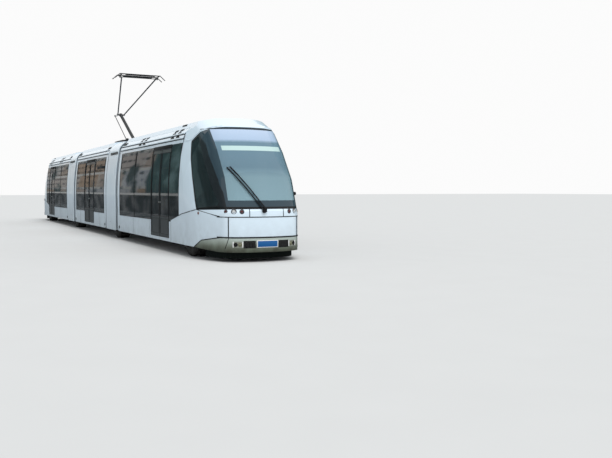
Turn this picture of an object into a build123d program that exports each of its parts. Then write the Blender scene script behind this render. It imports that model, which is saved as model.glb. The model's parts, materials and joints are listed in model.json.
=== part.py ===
from build123d import *
import os
from math import asin, cos, hypot, radians, sin, sqrt

# Articulated rubber-tyred tram: two end cars and a middle car on two short axle modules.
# Millimetres. +X forward, +Y left, +Z up. The origin is on the road under the middle of the tram.
# Everything is drawn for the front half, and the rear half mirrors it.

# Cross-section of the cars
CAR_HALF = 1075
WAIST_Z = 1200
SHOULDER_Z = 2500
SIDE_R = 7500
SHOULDER_R = 360
SKIRT_Z = 250
WALL = 45
GLASS = 10
SEAM = 4
LINING = 95

# Places along X
MIDDLE_END = 2690
MODULE_X = (2880, 4120)
CAR_START = 4310
MASK_START = 10200
PIVOT_X = (2785, 4215)

# Axle module
MODULE_GAP = 10
MODULE_SKIN = 15
MODULE_FRAME_IN = 120
MODULE_FRAME_LONG = 80
BELLOWS_INSET = (60, 110)
LOUVRE_X, LOUVRE_Z = (3130, 4090), (2430, 2450, 2470, 2490)
LOUVRE_HIGH = 10

# Floor, pivots, doors and windows
FLOOR_TOP = 310
PLATE_GAP = 6
PLATE_TOP = 328
PIVOT_PIN_R = 60
PIVOT_EYE_R = 200
PIN_GAP = 0.05
PLATE_R = 450
DOOR_Z = (330, 2330)
DOOR_GLASS_Z = (800, 2250)
WINDOW_Z = (700, 2410)
WINDOW_POST = 60
WINDOW_BAY = 1800
LEAF = 40
STILE = 45
END_DOOR = (7940, 9450)
END_WINDOW_X = 4580
MIDDLE_DOOR = (-790, 790)
MIDDLE_WINDOW_X = (840, 2440)
CORNER_CUT = 90

# Roof cover: half-width and height of each corner of its outline
COVER = ((800, 2745), (740, 2850), (480, 2890))
COVER_IN = 60

# Vents in the roof shoulder: rows by angle round the shoulder, columns by x
VENT_ANGLES = (18, 34, 50)
VENT_X = (6450, 6850, 9350, 9750)
VENT_SIZE = (230, 62, 12)

# Wheels and axles
MODULE_AXLE_X = 3500
END_AXLE_X = 10500
TYRE_R = 535
TYRE_OUT = 930
TYRE_W = 350
TYRE_SIDES = 40
TYRE_SHOULDER = 28
RIM_R = 290
RIM_LIP = 45
HUB_R = 130
HUB_SIDES = 20
STUB_R = 70
WEB = 30
BEAM_Z = (130, 220)
BEAM_HALF_X = 90
KNUCKLE_Y = (500, 560)
KNUCKLE_TOP = 95
KNUCKLE_HALF_X = 85
ARM_HALF_Y = 45
ROLLER_R = 125
ROLLER_W = 36
ROLLER_X = 600
ROLLER_Y = 108
ROLLER_Z = 118
SWEEP_X = 700
SWEEP_Y = 440
BOX_TOP = 1120
BOX_WALL = 12
BOX_OUT = 955
STEER_PIN_R = 40
TURNTABLE_R = 150

# Nose in plan: radii of its front, corner and flank arcs, and the front arc's half-angle in degrees
FRONT_R, CORNER_R, FLANK_R = 1600, 450, 3500
FRONT_ANGLE = 20

# Nose from the side: height and x of the tip, the upright part first
NOSE = ((1000, 12500), (1760, 12200), (2360, 11740), (2800, 11290), (2890, 11080))
NOSE_LONG = 3000

# Seams and openings of the nose from the side, x and z, and the windscreen from the front, y and z
BELT = ((9600, 735), (10400, 895), (11280, 1005), (12150, 880), (12700, 880))
BUMPER_SEAM = ((11190, 250), (11500, 400), (12150, 490), (12700, 490))
BUMPER_FOOT = ((12700, 200), (12050, 200))
CAB_WINDOW = ((10640, 2400), (10900, 2520), (12080, 1090), (11300, 1035))
DARK_ZONE = ((10600, 2430), (10880, 2600), (11320, 2690), (12900, 2690), (12900, 1045), (11270, 1000))
SCREEN = ((690, 1085), (790, 1500), (825, 2100), (800, 2655))
SCREEN_ROUND = 60
CORNER_SEAM_Y = 720
BAND_SEAM_Y = 350
SEAM_DEEP = 12

# Lamps of the lamp band: y and radius; bumper lamps and grilles: y from, y to
LAMP_Z = 985
LAMPS = ((760, 28), (640, 42), (500, 34))
LAMP_DEEP = 40
LAMP_PROUD = 5
MARKER_X, MARKER_Z, MARKER_R = 11390, 940, 24
FOG_Y, FOG_Z = (500, 640), (295, 410)
GRILLE_Y, GRILLE_Z = (240, 470), (280, 425)
GRILLE_BARS = 4
GRILLE_BAR = 10

# Deflector ring, tow eye and jacking pads
DEFLECTOR_Z = (70, 200)
DEFLECTOR_BACK = 140
DEFLECTOR_WALL = (60, 160)
TOW_X, TOW_R = 12120, 25
TOW_HALF = 60
PAD_Y, PAD_HALF, PAD_DEEP = 850, 80, 20
END_PAD_X = (4900, 9200)
MIDDLE_PAD_X = (-2000, 2000)

# Wiper: pivot, elbow and tip of its two arms, y and z, and how far it stands off the glass
WIPER = ((-100, 1030), (-370, 1440), (-545, 1690), (-640, 1840))
WIPER_OFF = 34
WIPER_R = 9
WIPER_SPREAD = 55

# Pantograph pivots, x and z
PAN_BASE = (1950, 2985)
PAN_KNEE = (110, 3940)
PAN_HEAD = (2620, 4850)
PAN_ROD = (1659, 2985)
PAN_TAIL = (-3, 3911)
PAN_ROD_Y = -170
PAN_FRAME_Z = (2925, 2965)
PAN_FRAME_X = (-760, 260)
PAN_FRAME_Y = 410
PAN_LUG_Y = (200, 240)
ARM_R, ARM_SHAFT_R = 48, 35
KNEE_R, KNEE_SHAFT_R = 55, 25
UPPER_R, UPPER_KNEE_Y, UPPER_HEAD_Y = 20, 100, 530
ROD_R = 12
TAIL_PIN_R, TAIL_PLAY = 8, 11
HEAD_HALF, HORN_HALF, HORN_DROP = 630, 770, 130
STRIP_X, STRIP_W, STRIP_H, STRIP_UP = 180, 40, 25, 60

TURN = asin((SHOULDER_Z - WAIST_Z) / SIDE_R)
SIDE_CY = CAR_HALF - SIDE_R
SHOULDER_CY = SIDE_CY + (SIDE_R - SHOULDER_R) * cos(TURN)
SHOULDER_CZ = WAIST_Z + (SIDE_R - SHOULDER_R) * sin(TURN)
TYRE_Y = TYRE_OUT - TYRE_W / 2
QUARTER = radians(90)


def flip(p):
    """The same front-view point on the other side of the centre line."""
    return (-p[0], p[1])


def flop(p):
    """The same plan point on the other side of the centre line."""
    return (p[0], -p[1])


def on_arc(centre, r, angle):
    """Point of a circle, at an angle in radians."""
    return (centre[0] + r * cos(angle), centre[1] + r * sin(angle))


def section(inset=0, low=SKIRT_Z):
    """The cars' cross-section, drawn inset from the outside."""
    side, shoulder = (SIDE_CY, WAIST_Z), (SHOULDER_CY, SHOULDER_CZ)
    p1 = (CAR_HALF - inset, WAIST_Z)
    m1 = on_arc(side, SIDE_R - inset, TURN / 2)
    p2 = on_arc(side, SIDE_R - inset, TURN)
    m2 = on_arc(shoulder, SHOULDER_R - inset, (TURN + QUARTER) / 2)
    p3 = on_arc(shoulder, SHOULDER_R - inset, QUARTER)
    foot = (CAR_HALF - inset, low)
    return make_face(
        Line(foot, p1)
        + ThreePointArc(p1, m1, p2)
        + ThreePointArc(p2, m2, p3)
        + Line(p3, flip(p3))
        + ThreePointArc(flip(p3), flip(m2), flip(p2))
        + ThreePointArc(flip(p2), flip(m1), flip(p1))
        + Line(flip(p1), flip(foot))
        + Line(flip(foot), foot)
    )


def cover_face(inset=0):
    """Outline of the roof's equipment cover, down to inside the roof."""
    (y0, z0), (y1, z1), (y2, z2) = COVER
    half = ((y0 - inset, z0 - 145), (y0 - inset, z0), (y1 - inset, z1 - inset), (y2, z2 - inset))
    return outline(half + tuple(flip(p) for p in reversed(half)))


def run_x(face, x0, x1):
    """A front-view face (y, z) extruded from x0 to x1."""
    return extrude(Plane.YZ.offset(x0) * face, x1 - x0)


def run_y(face, y0, y1):
    """A side-view face (x, z) extruded from y0 to y1."""
    return extrude(Plane.XZ.offset(-y0) * face, -(y1 - y0))


def outline(points):
    return make_face(Polyline(*points, close=True))


def rounded(points, radius):
    return make_face(FilletPolyline(*points, radius=radius, close=True))


def box(x, y, z):
    """A box from three (low, high) pairs."""
    middle = Pos((x[0] + x[1]) / 2, (y[0] + y[1]) / 2, (z[0] + z[1]) / 2)
    return middle * Box(x[1] - x[0], y[1] - y[0], z[1] - z[0])


def both_sides(solid):
    """A piece and its twin on the other side of the tram."""
    return solid + mirror(solid, about=Plane.XZ)


def across(face):
    """A side-view face run right through the tram."""
    return run_y(face, -1300, 1300)


def arch(outer, inner, x0, x1, low=SKIRT_Z):
    """An inverted U of the cross-section between two insets."""
    return run_x(section(outer, low), x0, x1) - run_x(section(inner, low - 10), x0, x1)


def wall(outer, inner, x, z):
    """Both side walls' skin between two insets, inside a window-like frame."""
    return arch(outer, inner, *x) & both_sides(box(x, (300, 1300), z))


def bar(p, q, r):
    """A round bar between two points."""
    along = Vector(*q) - Vector(*p)
    return extrude(Plane(origin=p, z_dir=along) * Circle(r), along.length)


def disc(p, r, width, axis=(0, 1, 0)):
    """A disc centred on a point."""
    return extrude(Plane(origin=p, z_dir=axis) * Circle(r), width / 2, both=True)


def strut(p, q, width, deep):
    """A square-edged bar between two points."""
    along = Vector(*q) - Vector(*p)
    return extrude(Plane(origin=p, z_dir=along) * Rectangle(width, deep), along.length)


def plan_arcs(tip, inset=0):
    """Centre, radius and end angles of the flank, corner and front arcs, tangent to each other."""
    w, rf, rc, rs = (size - inset for size in (CAR_HALF, FRONT_R, CORNER_R, FLANK_R))
    phi = radians(FRONT_ANGLE)
    front = (tip - FRONT_R, 0)
    corner = on_arc(front, rf - rc, phi)
    psi = asin((corner[1] - w + rs) / (rs - rc))
    flank = (corner[0] - (rs - rc) * cos(psi), w - rs)
    return (flank, rs, QUARTER, psi), (corner, rc, psi, phi), (front, rf, phi, 0)


def nose_face(tip, inset=0):
    """The nose's plan outline at one height."""
    flank, corner, front = plan_arcs(tip, inset)
    a, b = [[on_arc(c, r, t) for t in (t0, (t0 + t1) / 2, t1)] for c, r, t0, t1 in (flank, corner)]
    b[0] = a[2]
    back = (tip - NOSE_LONG, CAR_HALF - inset)
    return make_face(
        Line(back, a[0])
        + ThreePointArc(*a)
        + ThreePointArc(*b)
        + ThreePointArc(b[2], on_arc(front[0], front[1], 0), flop(b[2]))
        + ThreePointArc(*[flop(p) for p in reversed(b)])
        + ThreePointArc(*[flop(p) for p in reversed(a)])
        + Line(flop(a[0]), flop(back))
        + Line(flop(back), back)
    )


def upright(inset=0, z=(SKIRT_Z, NOSE[0][0]), tip=NOSE[0][1]):
    """The nose's plan outline run straight up."""
    return extrude(Plane.XY.offset(z[0]) * nose_face(tip, inset), z[1] - z[0])


def nose(inset=0, low=SKIRT_Z):
    """The plan outline run up along the leaning profile, mitred at its bends, inside the cars' own outline."""
    points = [Vector(NOSE[0][1], 0, low)] + [Vector(x, 0, z) for z, x in NOSE]
    runs = [(b - a).normalized() for a, b in zip(points, points[1:])]
    mitres = [runs[0]] + [(a + b).normalized() for a, b in zip(runs, runs[1:])]
    shape = Part()
    for i, run in enumerate(runs):
        across_run = Plane(origin=points[i], x_dir=(run.Z, 0, -run.X), z_dir=run)
        piece = extrude(across_run * nose_face(0, inset), NOSE_LONG, both=True)
        piece = split(piece, Plane(origin=points[i], z_dir=mitres[i]), keep=Keep.TOP)
        if i + 1 < len(runs):
            piece = split(piece, Plane(origin=points[i + 1], z_dir=mitres[i + 1]), keep=Keep.BOTTOM)
        shape += piece
    return shape & (run_x(section(inset, low), 9000, 13000) + run_x(cover_face(inset), 9000, 13000))


def nose_x(y, z=NOSE[0][0]):
    """Where the nose's surface is at y and z, and its normal's angle in plan."""
    for c, r, t0, t1 in reversed(plan_arcs(0)):
        if abs(y) <= on_arc(c, r, t0)[1]:
            break
    rise = abs(y) - c[1]
    back = c[0] + sqrt(r * r - rise * rise)
    reach = [NOSE[0][1] + back]
    for (z0, x0), (z1, x1) in zip(NOSE, NOSE[1:]):
        reach.append(x0 + ((x1 - x0) * (z - z0) + back * hypot(x1 - x0, z1 - z0)) / (z1 - z0))
    return min(reach), asin(rise / r)


def car_shell(x0, x1, door, windows):
    """Side walls and roof of one car as one panel, with its openings cut and its lower corners bevelled."""
    shell = arch(0, WALL, x0, x1)
    for x in windows:
        shell -= wall(-5, GLASS, x, WINDOW_Z)
        bays = max(1, round((x[1] - x[0]) / WINDOW_BAY))
        step = (x[1] - x[0] - WINDOW_POST) / bays
        for i in range(bays):
            low = x[0] + WINDOW_POST + i * step
            bay = (low, low + step - WINDOW_POST)
            shell -= wall(-5, WALL + 5, bay, (WINDOW_Z[0] + WINDOW_POST, WINDOW_Z[1] - WINDOW_POST))
    return shell - wall(-5, WALL + 5, door, DOOR_Z)


def corner_cut(x, way):
    """The bevel of a car's lower corner beside an axle module."""
    points = ((x, SKIRT_Z), (x + way * CORNER_CUT, SKIRT_Z), (x, SKIRT_Z + CORNER_CUT))
    return both_sides(run_y(outline(points), CAR_HALF - WALL - 1, CAR_HALF + 1))


def door_leaves(door):
    """Two leaves each side, each with its window cut, and the panes for them."""
    leaves, panes = Part(), Part()
    middle = (door[0] + door[1]) / 2
    z = (DOOR_Z[0] + SEAM, DOOR_Z[1] - SEAM)
    for x in ((door[0] + SEAM, middle - SEAM), (middle + SEAM, door[1] - SEAM)):
        pane = (x[0] + STILE, x[1] - STILE)
        leaves += wall(0, LEAF, x, z) - wall(-5, LEAF + 5, pane, DOOR_GLASS_Z)
        panes += wall(4, 4 + GLASS, pane, DOOR_GLASS_Z)
    return leaves, panes


def seat(x, y, facing=1, width=430):
    """One seat: cushion and back as one moulding on its leg."""
    profile = ((0, 430), (0, 700), (-60, 1180), (-10, 1190), (60, 720), (90, 505), (420, 530), (430, 470), (150, 420))
    shape = run_y(outline([(x + facing * px, pz) for px, pz in profile]), y - width / 2, y + width / 2)
    leg_x = x + facing * 200
    return shape + box((leg_x - 60, leg_x + 60), (y - 60, y + 60), (FLOOR_TOP, 470))


def floor(x0, x1, pads):
    half = CAR_HALF - WALL
    slab = box((x0, x1), (-half, half), (SKIRT_Z, FLOOR_TOP))
    for x in pads:
        pad = (x - PAD_HALF, x + PAD_HALF), (PAD_Y - PAD_HALF, PAD_Y + PAD_HALF), (SKIRT_Z - PAD_DEEP, SKIRT_Z)
        slab += both_sides(box(*pad))
    return slab


def pivot_eye(x, way):
    """The floor's rounded lug at an articulation."""
    lug = disc((x, 0, (SKIRT_Z + FLOOR_TOP) / 2), PIVOT_EYE_R, FLOOR_TOP - SKIRT_Z, (0, 0, 1))
    return lug + box(sorted((x, x + way * 320)), (-PIVOT_EYE_R, PIVOT_EYE_R), (SKIRT_Z, FLOOR_TOP))


def pivot_bore(x):
    return disc((x, 0, SKIRT_Z), PIVOT_PIN_R + PIN_GAP, 400, (0, 0, 1))


def wheel_box(x, reach, inner_y, outer_y):
    """A cover over each wheel, open below and outwards."""
    outer = box((x - reach, x + reach), (inner_y, outer_y), (SKIRT_Z, BOX_TOP))
    inside = (x - reach + BOX_WALL, x + reach - BOX_WALL), (inner_y + BOX_WALL, outer_y + 1)
    return both_sides(outer - box(*inside, (SKIRT_Z - 1, BOX_TOP - BOX_WALL)))


def wheel(x, side):
    """Tyre, rim, web and hub round the Y axis, the tyre with flats fine enough to pass for round."""
    half = TYRE_W / 2
    step = 360 / TYRE_SIDES
    tread = Rot(0, 0, step / 2) * RegularPolygon(TYRE_R, TYRE_SIDES, major_radius=False)
    tyre = extrude(tread, half, both=True)
    tyre = chamfer(tyre.faces().filter_by(Axis.Z).edges(), TYRE_SHOULDER)
    inside = Rot(0, 0, step / 2) * RegularPolygon(RIM_R - RIM_LIP, TYRE_SIDES, major_radius=False)
    tyre -= extrude(inside, half + 1, both=True)
    tyre += Pos(0, 0, half - 60) * extrude(inside, WEB / 2, both=True)
    tyre += Pos(0, 0, half - 100) * extrude(RegularPolygon(HUB_R, HUB_SIDES, major_radius=False), 65, both=True)
    solid = Rot(-90, 0, 0) * (tyre - Cylinder(STUB_R, TYRE_W + 2))
    if side < 0:
        solid = mirror(solid, about=Plane.XZ)
    return Pos(x, side * TYRE_Y, TYRE_R) * solid


def axle(x):
    """Dropped beam, upright knuckles with stub axles, and guide arms with their inclined rollers."""
    beam = box((x - BEAM_HALF_X, x + BEAM_HALF_X), (-KNUCKLE_Y[1], KNUCKLE_Y[1]), BEAM_Z)
    knuckle = box((x - KNUCKLE_HALF_X, x + KNUCKLE_HALF_X), KNUCKLE_Y, (BEAM_Z[0], TYRE_R + KNUCKLE_TOP))
    stub = bar((x, KNUCKLE_Y[1], TYRE_R), (x, TYRE_OUT - 60, TYRE_R), STUB_R - PIN_GAP)
    solid = beam + both_sides(knuckle + stub)
    for way in (1, -1):
        tip = x + way * ROLLER_X
        arm = sorted((x + way * 60, tip + way * 40))
        solid += box(arm, (-ARM_HALF_Y, ARM_HALF_Y), (BEAM_Z[1] - 60, BEAM_Z[1]))
        for side in (1, -1):
            axis = Vector(0, side, 1).normalized()
            centre = Vector(tip, side * ROLLER_Y, ROLLER_Z)
            solid += disc(tuple(centre), ROLLER_R, ROLLER_W, tuple(axis))
            solid += strut(tuple(centre), tuple(centre + axis * 70), 40, 40)
            hanger = tuple(centre + axis * 55)
            solid += strut(hanger, (tip - way * 60, 0, BEAM_Z[1] - 30), 36, 36)
    return solid


def build_module():
    """Axle module: side panels and roof as one arch, two portal frames with a lining, and its floor."""
    x0, x1 = MODULE_X
    f0, f1 = x0 + MODULE_FRAME_IN, x1 - MODULE_FRAME_IN
    arches = arch(-MODULE_GAP - MODULE_SKIN, -MODULE_GAP, x0, x1)
    for z in LOUVRE_Z:
        arches -= both_sides(box(LOUVRE_X, (960, 1200), (z, z + LOUVRE_HIGH)))
    depth = WALL + LINING
    for x in ((f0, f0 + MODULE_FRAME_LONG), (f1 - MODULE_FRAME_LONG, f1)):
        arches += arch(-MODULE_GAP, depth, *x)
    arches += arch(depth - BOX_WALL, depth, f0, f1)
    arches -= both_sides(box((x0 - 1, x1 + 1), (KNUCKLE_Y[0], 1000), (SKIRT_Z - 20, BOX_TOP - BOX_WALL)))
    low = box((x0 + 60, x1 - 60), (-1000, 1000), (SKIRT_Z, FLOOR_TOP))
    top = box((x0 + 60, x1 - 60), (-KNUCKLE_Y[0], KNUCKLE_Y[0]), (FLOOR_TOP, PLATE_TOP))
    relief = PIVOT_EYE_R + 15
    cover_z = (FLOOR_TOP + PLATE_GAP, PLATE_TOP)
    for x in PIVOT_X:
        low -= disc((x, 0, SKIRT_Z), relief, 400, (0, 0, 1))
        top -= disc((x, 0, FLOOR_TOP), relief, 2 * PLATE_GAP, (0, 0, 1))
    for x in PIVOT_X:
        top += disc((x, 0, sum(cover_z) / 2), PLATE_R, cover_z[1] - cover_z[0], (0, 0, 1))
        top += disc((x, 0, (PLATE_TOP + SKIRT_Z - 20) / 2), PIVOT_PIN_R, PLATE_TOP - SKIRT_Z + 20, (0, 0, 1))
    well_y = KNUCKLE_Y[0] - 25
    reach = TYRE_R + 30
    wells = wheel_box(MODULE_AXLE_X, reach, well_y, BOX_OUT)
    inside = MODULE_AXLE_X - reach + BOX_WALL, MODULE_AXLE_X + reach - BOX_WALL
    holes = both_sides(box(inside, (well_y + BOX_WALL, 1001), (0, 400)))
    seat_x = (MODULE_AXLE_X - 60, MODULE_AXLE_X + 60)
    bellows = [
        arch(*BELLOWS_INSET, f1, CAR_START, FLOOR_TOP),
        arch(*BELLOWS_INSET, MIDDLE_END, f0, FLOOR_TOP),
    ]
    return {
        "module_frame": arches + ((low + top) - holes) + wells,
        "bellows_outer": bellows[0],
        "bellows_inner": bellows[1],
        "module_axle": axle(MODULE_AXLE_X) + box(seat_x, (-KNUCKLE_Y[0], KNUCKLE_Y[0]), (BEAM_Z[1], SKIRT_Z)),
    }


def roof_cover(x0, x1):
    """The equipment cover that lies on the roof."""
    return run_x(cover_face(), x0, x1) - run_x(section(0), x0 - 1, x1 + 1)


def build_middle():
    """The middle car."""
    low, high = MIDDLE_WINDOW_X
    windows = [(low, high), (-high, -low)]
    shell = car_shell(-MIDDLE_END, MIDDLE_END, MIDDLE_DOOR, windows)
    slab = floor(-MIDDLE_END, MIDDLE_END, MIDDLE_PAD_X)
    leaves, panes = door_leaves(MIDDLE_DOOR)
    seats = Part()
    for side in (1, -1):
        end = side * MIDDLE_END
        shell += arch(WALL, WALL + LINING, *sorted((end, end - side * 40)), FLOOR_TOP)
        shell -= corner_cut(end, -side)
        slab += pivot_eye(side * PIVOT_X[0], -side)
        slab -= pivot_bore(side * PIVOT_X[0])
        for x in (1250, 2050):
            seats += both_sides(seat(side * x, 760, side))
    for x in windows:
        panes += wall(0, GLASS, x, WINDOW_Z)
    return {
        "middle_shell": shell,
        "middle_doors": leaves,
        "middle_glazing": panes,
        "middle_floor": slab,
        "middle_seats": seats,
        "middle_roof_cover": roof_cover(-MIDDLE_END + COVER_IN, MIDDLE_END - COVER_IN),
    }


def vents():
    """Cutters for the oval vents in the roof shoulder."""
    long, high, deep = VENT_SIZE
    cutters = Part()
    for x in VENT_X:
        for angle in VENT_ANGLES:
            t = radians(angle)
            y, z = on_arc((SHOULDER_CY, SHOULDER_CZ), SHOULDER_R, t)
            plane = Plane(origin=(x, y, z), x_dir=(1, 0, 0), z_dir=(0, cos(t), sin(t)))
            cutters += extrude(plane * chamfer(Rectangle(long, high).vertices(), high * 0.29), deep, both=True)
    return both_sides(cutters)


def lamp_rods(proud, deep):
    """Round lamps square to the nose, from a little proud of it inwards, and the side markers."""
    shape = Part()
    for y, r in LAMPS:
        x, a = nose_x(y)
        out = Vector(cos(a), sin(a), 0)
        face = Vector(x, y, LAMP_Z)
        shape += bar(tuple(face - out * deep), tuple(face + out * proud), r)
    y = plan_y(MARKER_X)
    shape += bar((MARKER_X, y - deep, MARKER_Z), (MARKER_X, y + proud, MARKER_Z), MARKER_R)
    return both_sides(shape)


def plan_y(x):
    """Half-width of the lower nose at x, on its flank arc."""
    (c, r, _, _), *_ = plan_arcs(NOSE[0][1])
    return c[1] + sqrt(r * r - (x - c[0]) ** 2)


def build_bumper(skin, zone):
    """Bumper with its fog lamps' pockets and barred grilles."""
    bumper = skin & zone
    for y, z in ((FOG_Y, FOG_Z), (GRILLE_Y, GRILLE_Z)):
        bumper -= both_sides(box((11900, 12600), y, z))
    step = (GRILLE_Z[1] - GRILLE_Z[0]) / (GRILLE_BARS + 1)
    bars = Part()
    for i in range(1, GRILLE_BARS + 1):
        z = GRILLE_Z[0] + i * step
        bars += box((11900, 12600), (GRILLE_Y[0] - 1, GRILLE_Y[1] + 1), (z - GRILLE_BAR / 2, z + GRILLE_BAR / 2))
    depth = upright(15, (200, 490)) - upright(30, (199, 491))
    return bumper + (depth & both_sides(bars))


def wiper():
    """Two slim arms side by side from one boss, with the blade along their far end."""
    rows = []
    for dy in (0, WIPER_SPREAD):
        points = []
        for i, (y, z) in enumerate(WIPER):
            y += dy
            x, a = nose_x(y, z)
            points.append((x + WIPER_OFF, y, z + (12 if dy else 0)))
        rows.append(points)
    shape = Part()
    for points in rows:
        for p, q in zip(points, points[1:]):
            on = (Vector(*q) - Vector(*p)).normalized() * WIPER_R
            shape += strut(tuple(Vector(*p) - on), tuple(Vector(*q) + on), 2 * WIPER_R, 2 * WIPER_R)
    shape += strut(rows[0][-1], rows[1][-1], WIPER_R, WIPER_R)
    y, z = WIPER[0]
    x, _ = nose_x(y)
    shape += bar((x - 20, y + WIPER_SPREAD / 2, z - 48), (x + WIPER_OFF + 6, y + WIPER_SPREAD / 2, z - 48), 24)
    shape += box((x + WIPER_OFF - 12, x + WIPER_OFF + 6), (y - 20, y + WIPER_SPREAD + 20), (z - 56, z + 10))
    return shape


def build_end():
    """The front end car."""
    whole = nose()
    skin = whole - nose(WALL, SKIRT_Z - 10)
    ahead = box((MASK_START, 13000), (-1300, 1300), (0, 3000))
    skin &= ahead
    below = across(outline(((9600, 0),) + BELT + ((12700, 0),)))
    bumper_zone = across(outline(BUMPER_SEAM + BUMPER_FOOT))
    dark = across(rounded(DARK_ZONE, 40))
    cab_window = both_sides(run_y(rounded(CAB_WINDOW, SCREEN_ROUND), 400, 1300))
    screen = run_x(rounded(SCREEN + tuple(flip(p) for p in reversed(SCREEN)), SCREEN_ROUND), 11000, 13000) & dark
    pane = (whole - nose(GLASS, SKIRT_Z - 10)) & ahead
    windows = [(END_WINDOW_X, END_DOOR[0]), (END_DOOR[1], MASK_START)]
    shell = car_shell(CAR_START, MASK_START, END_DOOR, windows) - below - corner_cut(CAR_START, 1) - vents()
    shell += arch(WALL, WALL + LINING, CAR_START, CAR_START + 40, FLOOR_TOP)
    leaves, panes = door_leaves(END_DOOR)
    for x in windows:
        panes += wall(0, GLASS, x, WINDOW_Z) - below
    mask = (skin - below) - dark
    seams = both_sides(box((12000, 12700), (BAND_SEAM_Y - 2, BAND_SEAM_Y + 2), (880, 1000)))
    seams += both_sides(box((12000, 12700), (CORNER_SEAM_Y - 2, CORNER_SEAM_Y + 2), (480, 881)))
    seams &= upright(-1, (SKIRT_Z, 1001)) - upright(SEAM_DEEP, (SKIRT_Z, 1001))
    front = arch(0, WALL, 9600, MASK_START) + (upright() - upright(WALL, (SKIRT_Z - 10, 1001)) & ahead)
    skirt = (front & below) - across(outline(((11190, 0),) + BUMPER_SEAM + ((12700, 0),))) - seams
    bumper_skin = upright(0, (200, 500)) - upright(WALL, (199, 501))
    wiper_piece = wiper()
    slab = floor(CAR_START, MASK_START, END_PAD_X)
    slab += upright(WALL, (SKIRT_Z, FLOOR_TOP)) & ahead
    slab += box((TOW_X - TOW_HALF, TOW_X + TOW_HALF), (-TOW_HALF, TOW_HALF), (205, SKIRT_Z))
    slab -= disc((TOW_X, 0, 205), TOW_R, 90, (0, 0, 1))
    slab += pivot_eye(PIVOT_X[1], 1)
    slab -= pivot_bore(PIVOT_X[1])
    slab -= both_sides(box((END_AXLE_X - SWEEP_X, END_AXLE_X + SWEEP_X), (SWEEP_Y, 1300), (0, 400)))
    slab += wheel_box(END_AXLE_X, SWEEP_X + BOX_WALL, SWEEP_Y - BOX_WALL, 980)
    slab -= disc((END_AXLE_X, 0, SKIRT_Z), STEER_PIN_R + PIN_GAP, 400, (0, 0, 1))
    turntable = disc((END_AXLE_X, 0, BEAM_Z[1] + 12), TURNTABLE_R, 24, (0, 0, 1))
    turntable += disc((END_AXLE_X, 0, (BEAM_Z[1] + FLOOR_TOP - 5) / 2), STEER_PIN_R, FLOOR_TOP - 5 - BEAM_Z[1], (0, 0, 1))
    seats = Part()
    for x in (4900, 5700, 6500, 7300):
        seats += both_sides(seat(x, 760))
    seats += seat(10650, 0, 1, 480)
    desk = ((11250, FLOOR_TOP), (11250, 900), (11350, 1020), (11800, 1060), (11900, FLOOR_TOP))
    partition = box((9640, 9670), (-1000, 1000), (FLOOR_TOP, 2300)) & run_x(section(WALL + 2), 9600, 9700)
    partition -= box((9600, 9700), (-400, 400), (1150, 2200))
    return {
        "shell": shell,
        "doors": leaves,
        "glazing": panes + (pane & cab_window),
        "mask": mask - seams - lamp_rods(LAMP_PROUD, LAMP_DEEP) - wiper_piece,
        "pillars": (skin & dark) - below - cab_window - screen,
        "windscreen": pane & screen,
        "skirt": skirt - lamp_rods(LAMP_PROUD, LAMP_DEEP),
        "bumper": build_bumper(bumper_skin, bumper_zone),
        "floor": slab,
        "roof_cover": roof_cover(CAR_START + COVER_IN, MASK_START),
        "seats": seats,
        "cab_fittings": run_y(outline(desk), -650, 650) + partition,
        "deflector": deflector(),
        "lamps": lamp_rods(LAMP_PROUD, LAMP_DEEP) + fog_lamps(),
        "wiper": wiper_piece,
        "end_axle": axle(END_AXLE_X) + turntable,
    }


def fog_lamps():
    y = (FOG_Y[0], FOG_Y[1])
    blocks = both_sides(box((11900, 12600), y, FOG_Z))
    return blocks & (upright(4, FOG_Z) - upright(WALL - 4, (FOG_Z[0] - 1, FOG_Z[1] + 1)))


def deflector():
    """The dark rubber ring under the nose, on two hangers."""
    tip = NOSE[0][1] - DEFLECTOR_BACK
    z0, z1 = DEFLECTOR_Z
    outer, inner = DEFLECTOR_WALL
    ring = upright(outer, (z0, z1), tip) - upright(inner, (z0 - 1, z1 + 1), tip)
    ring &= box((11500, 13000), (-1300, 1300), (0, 300))
    return ring + both_sides(box((11560, 11640), (830, 900), (z1 - 20, SKIRT_Z)))


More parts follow.
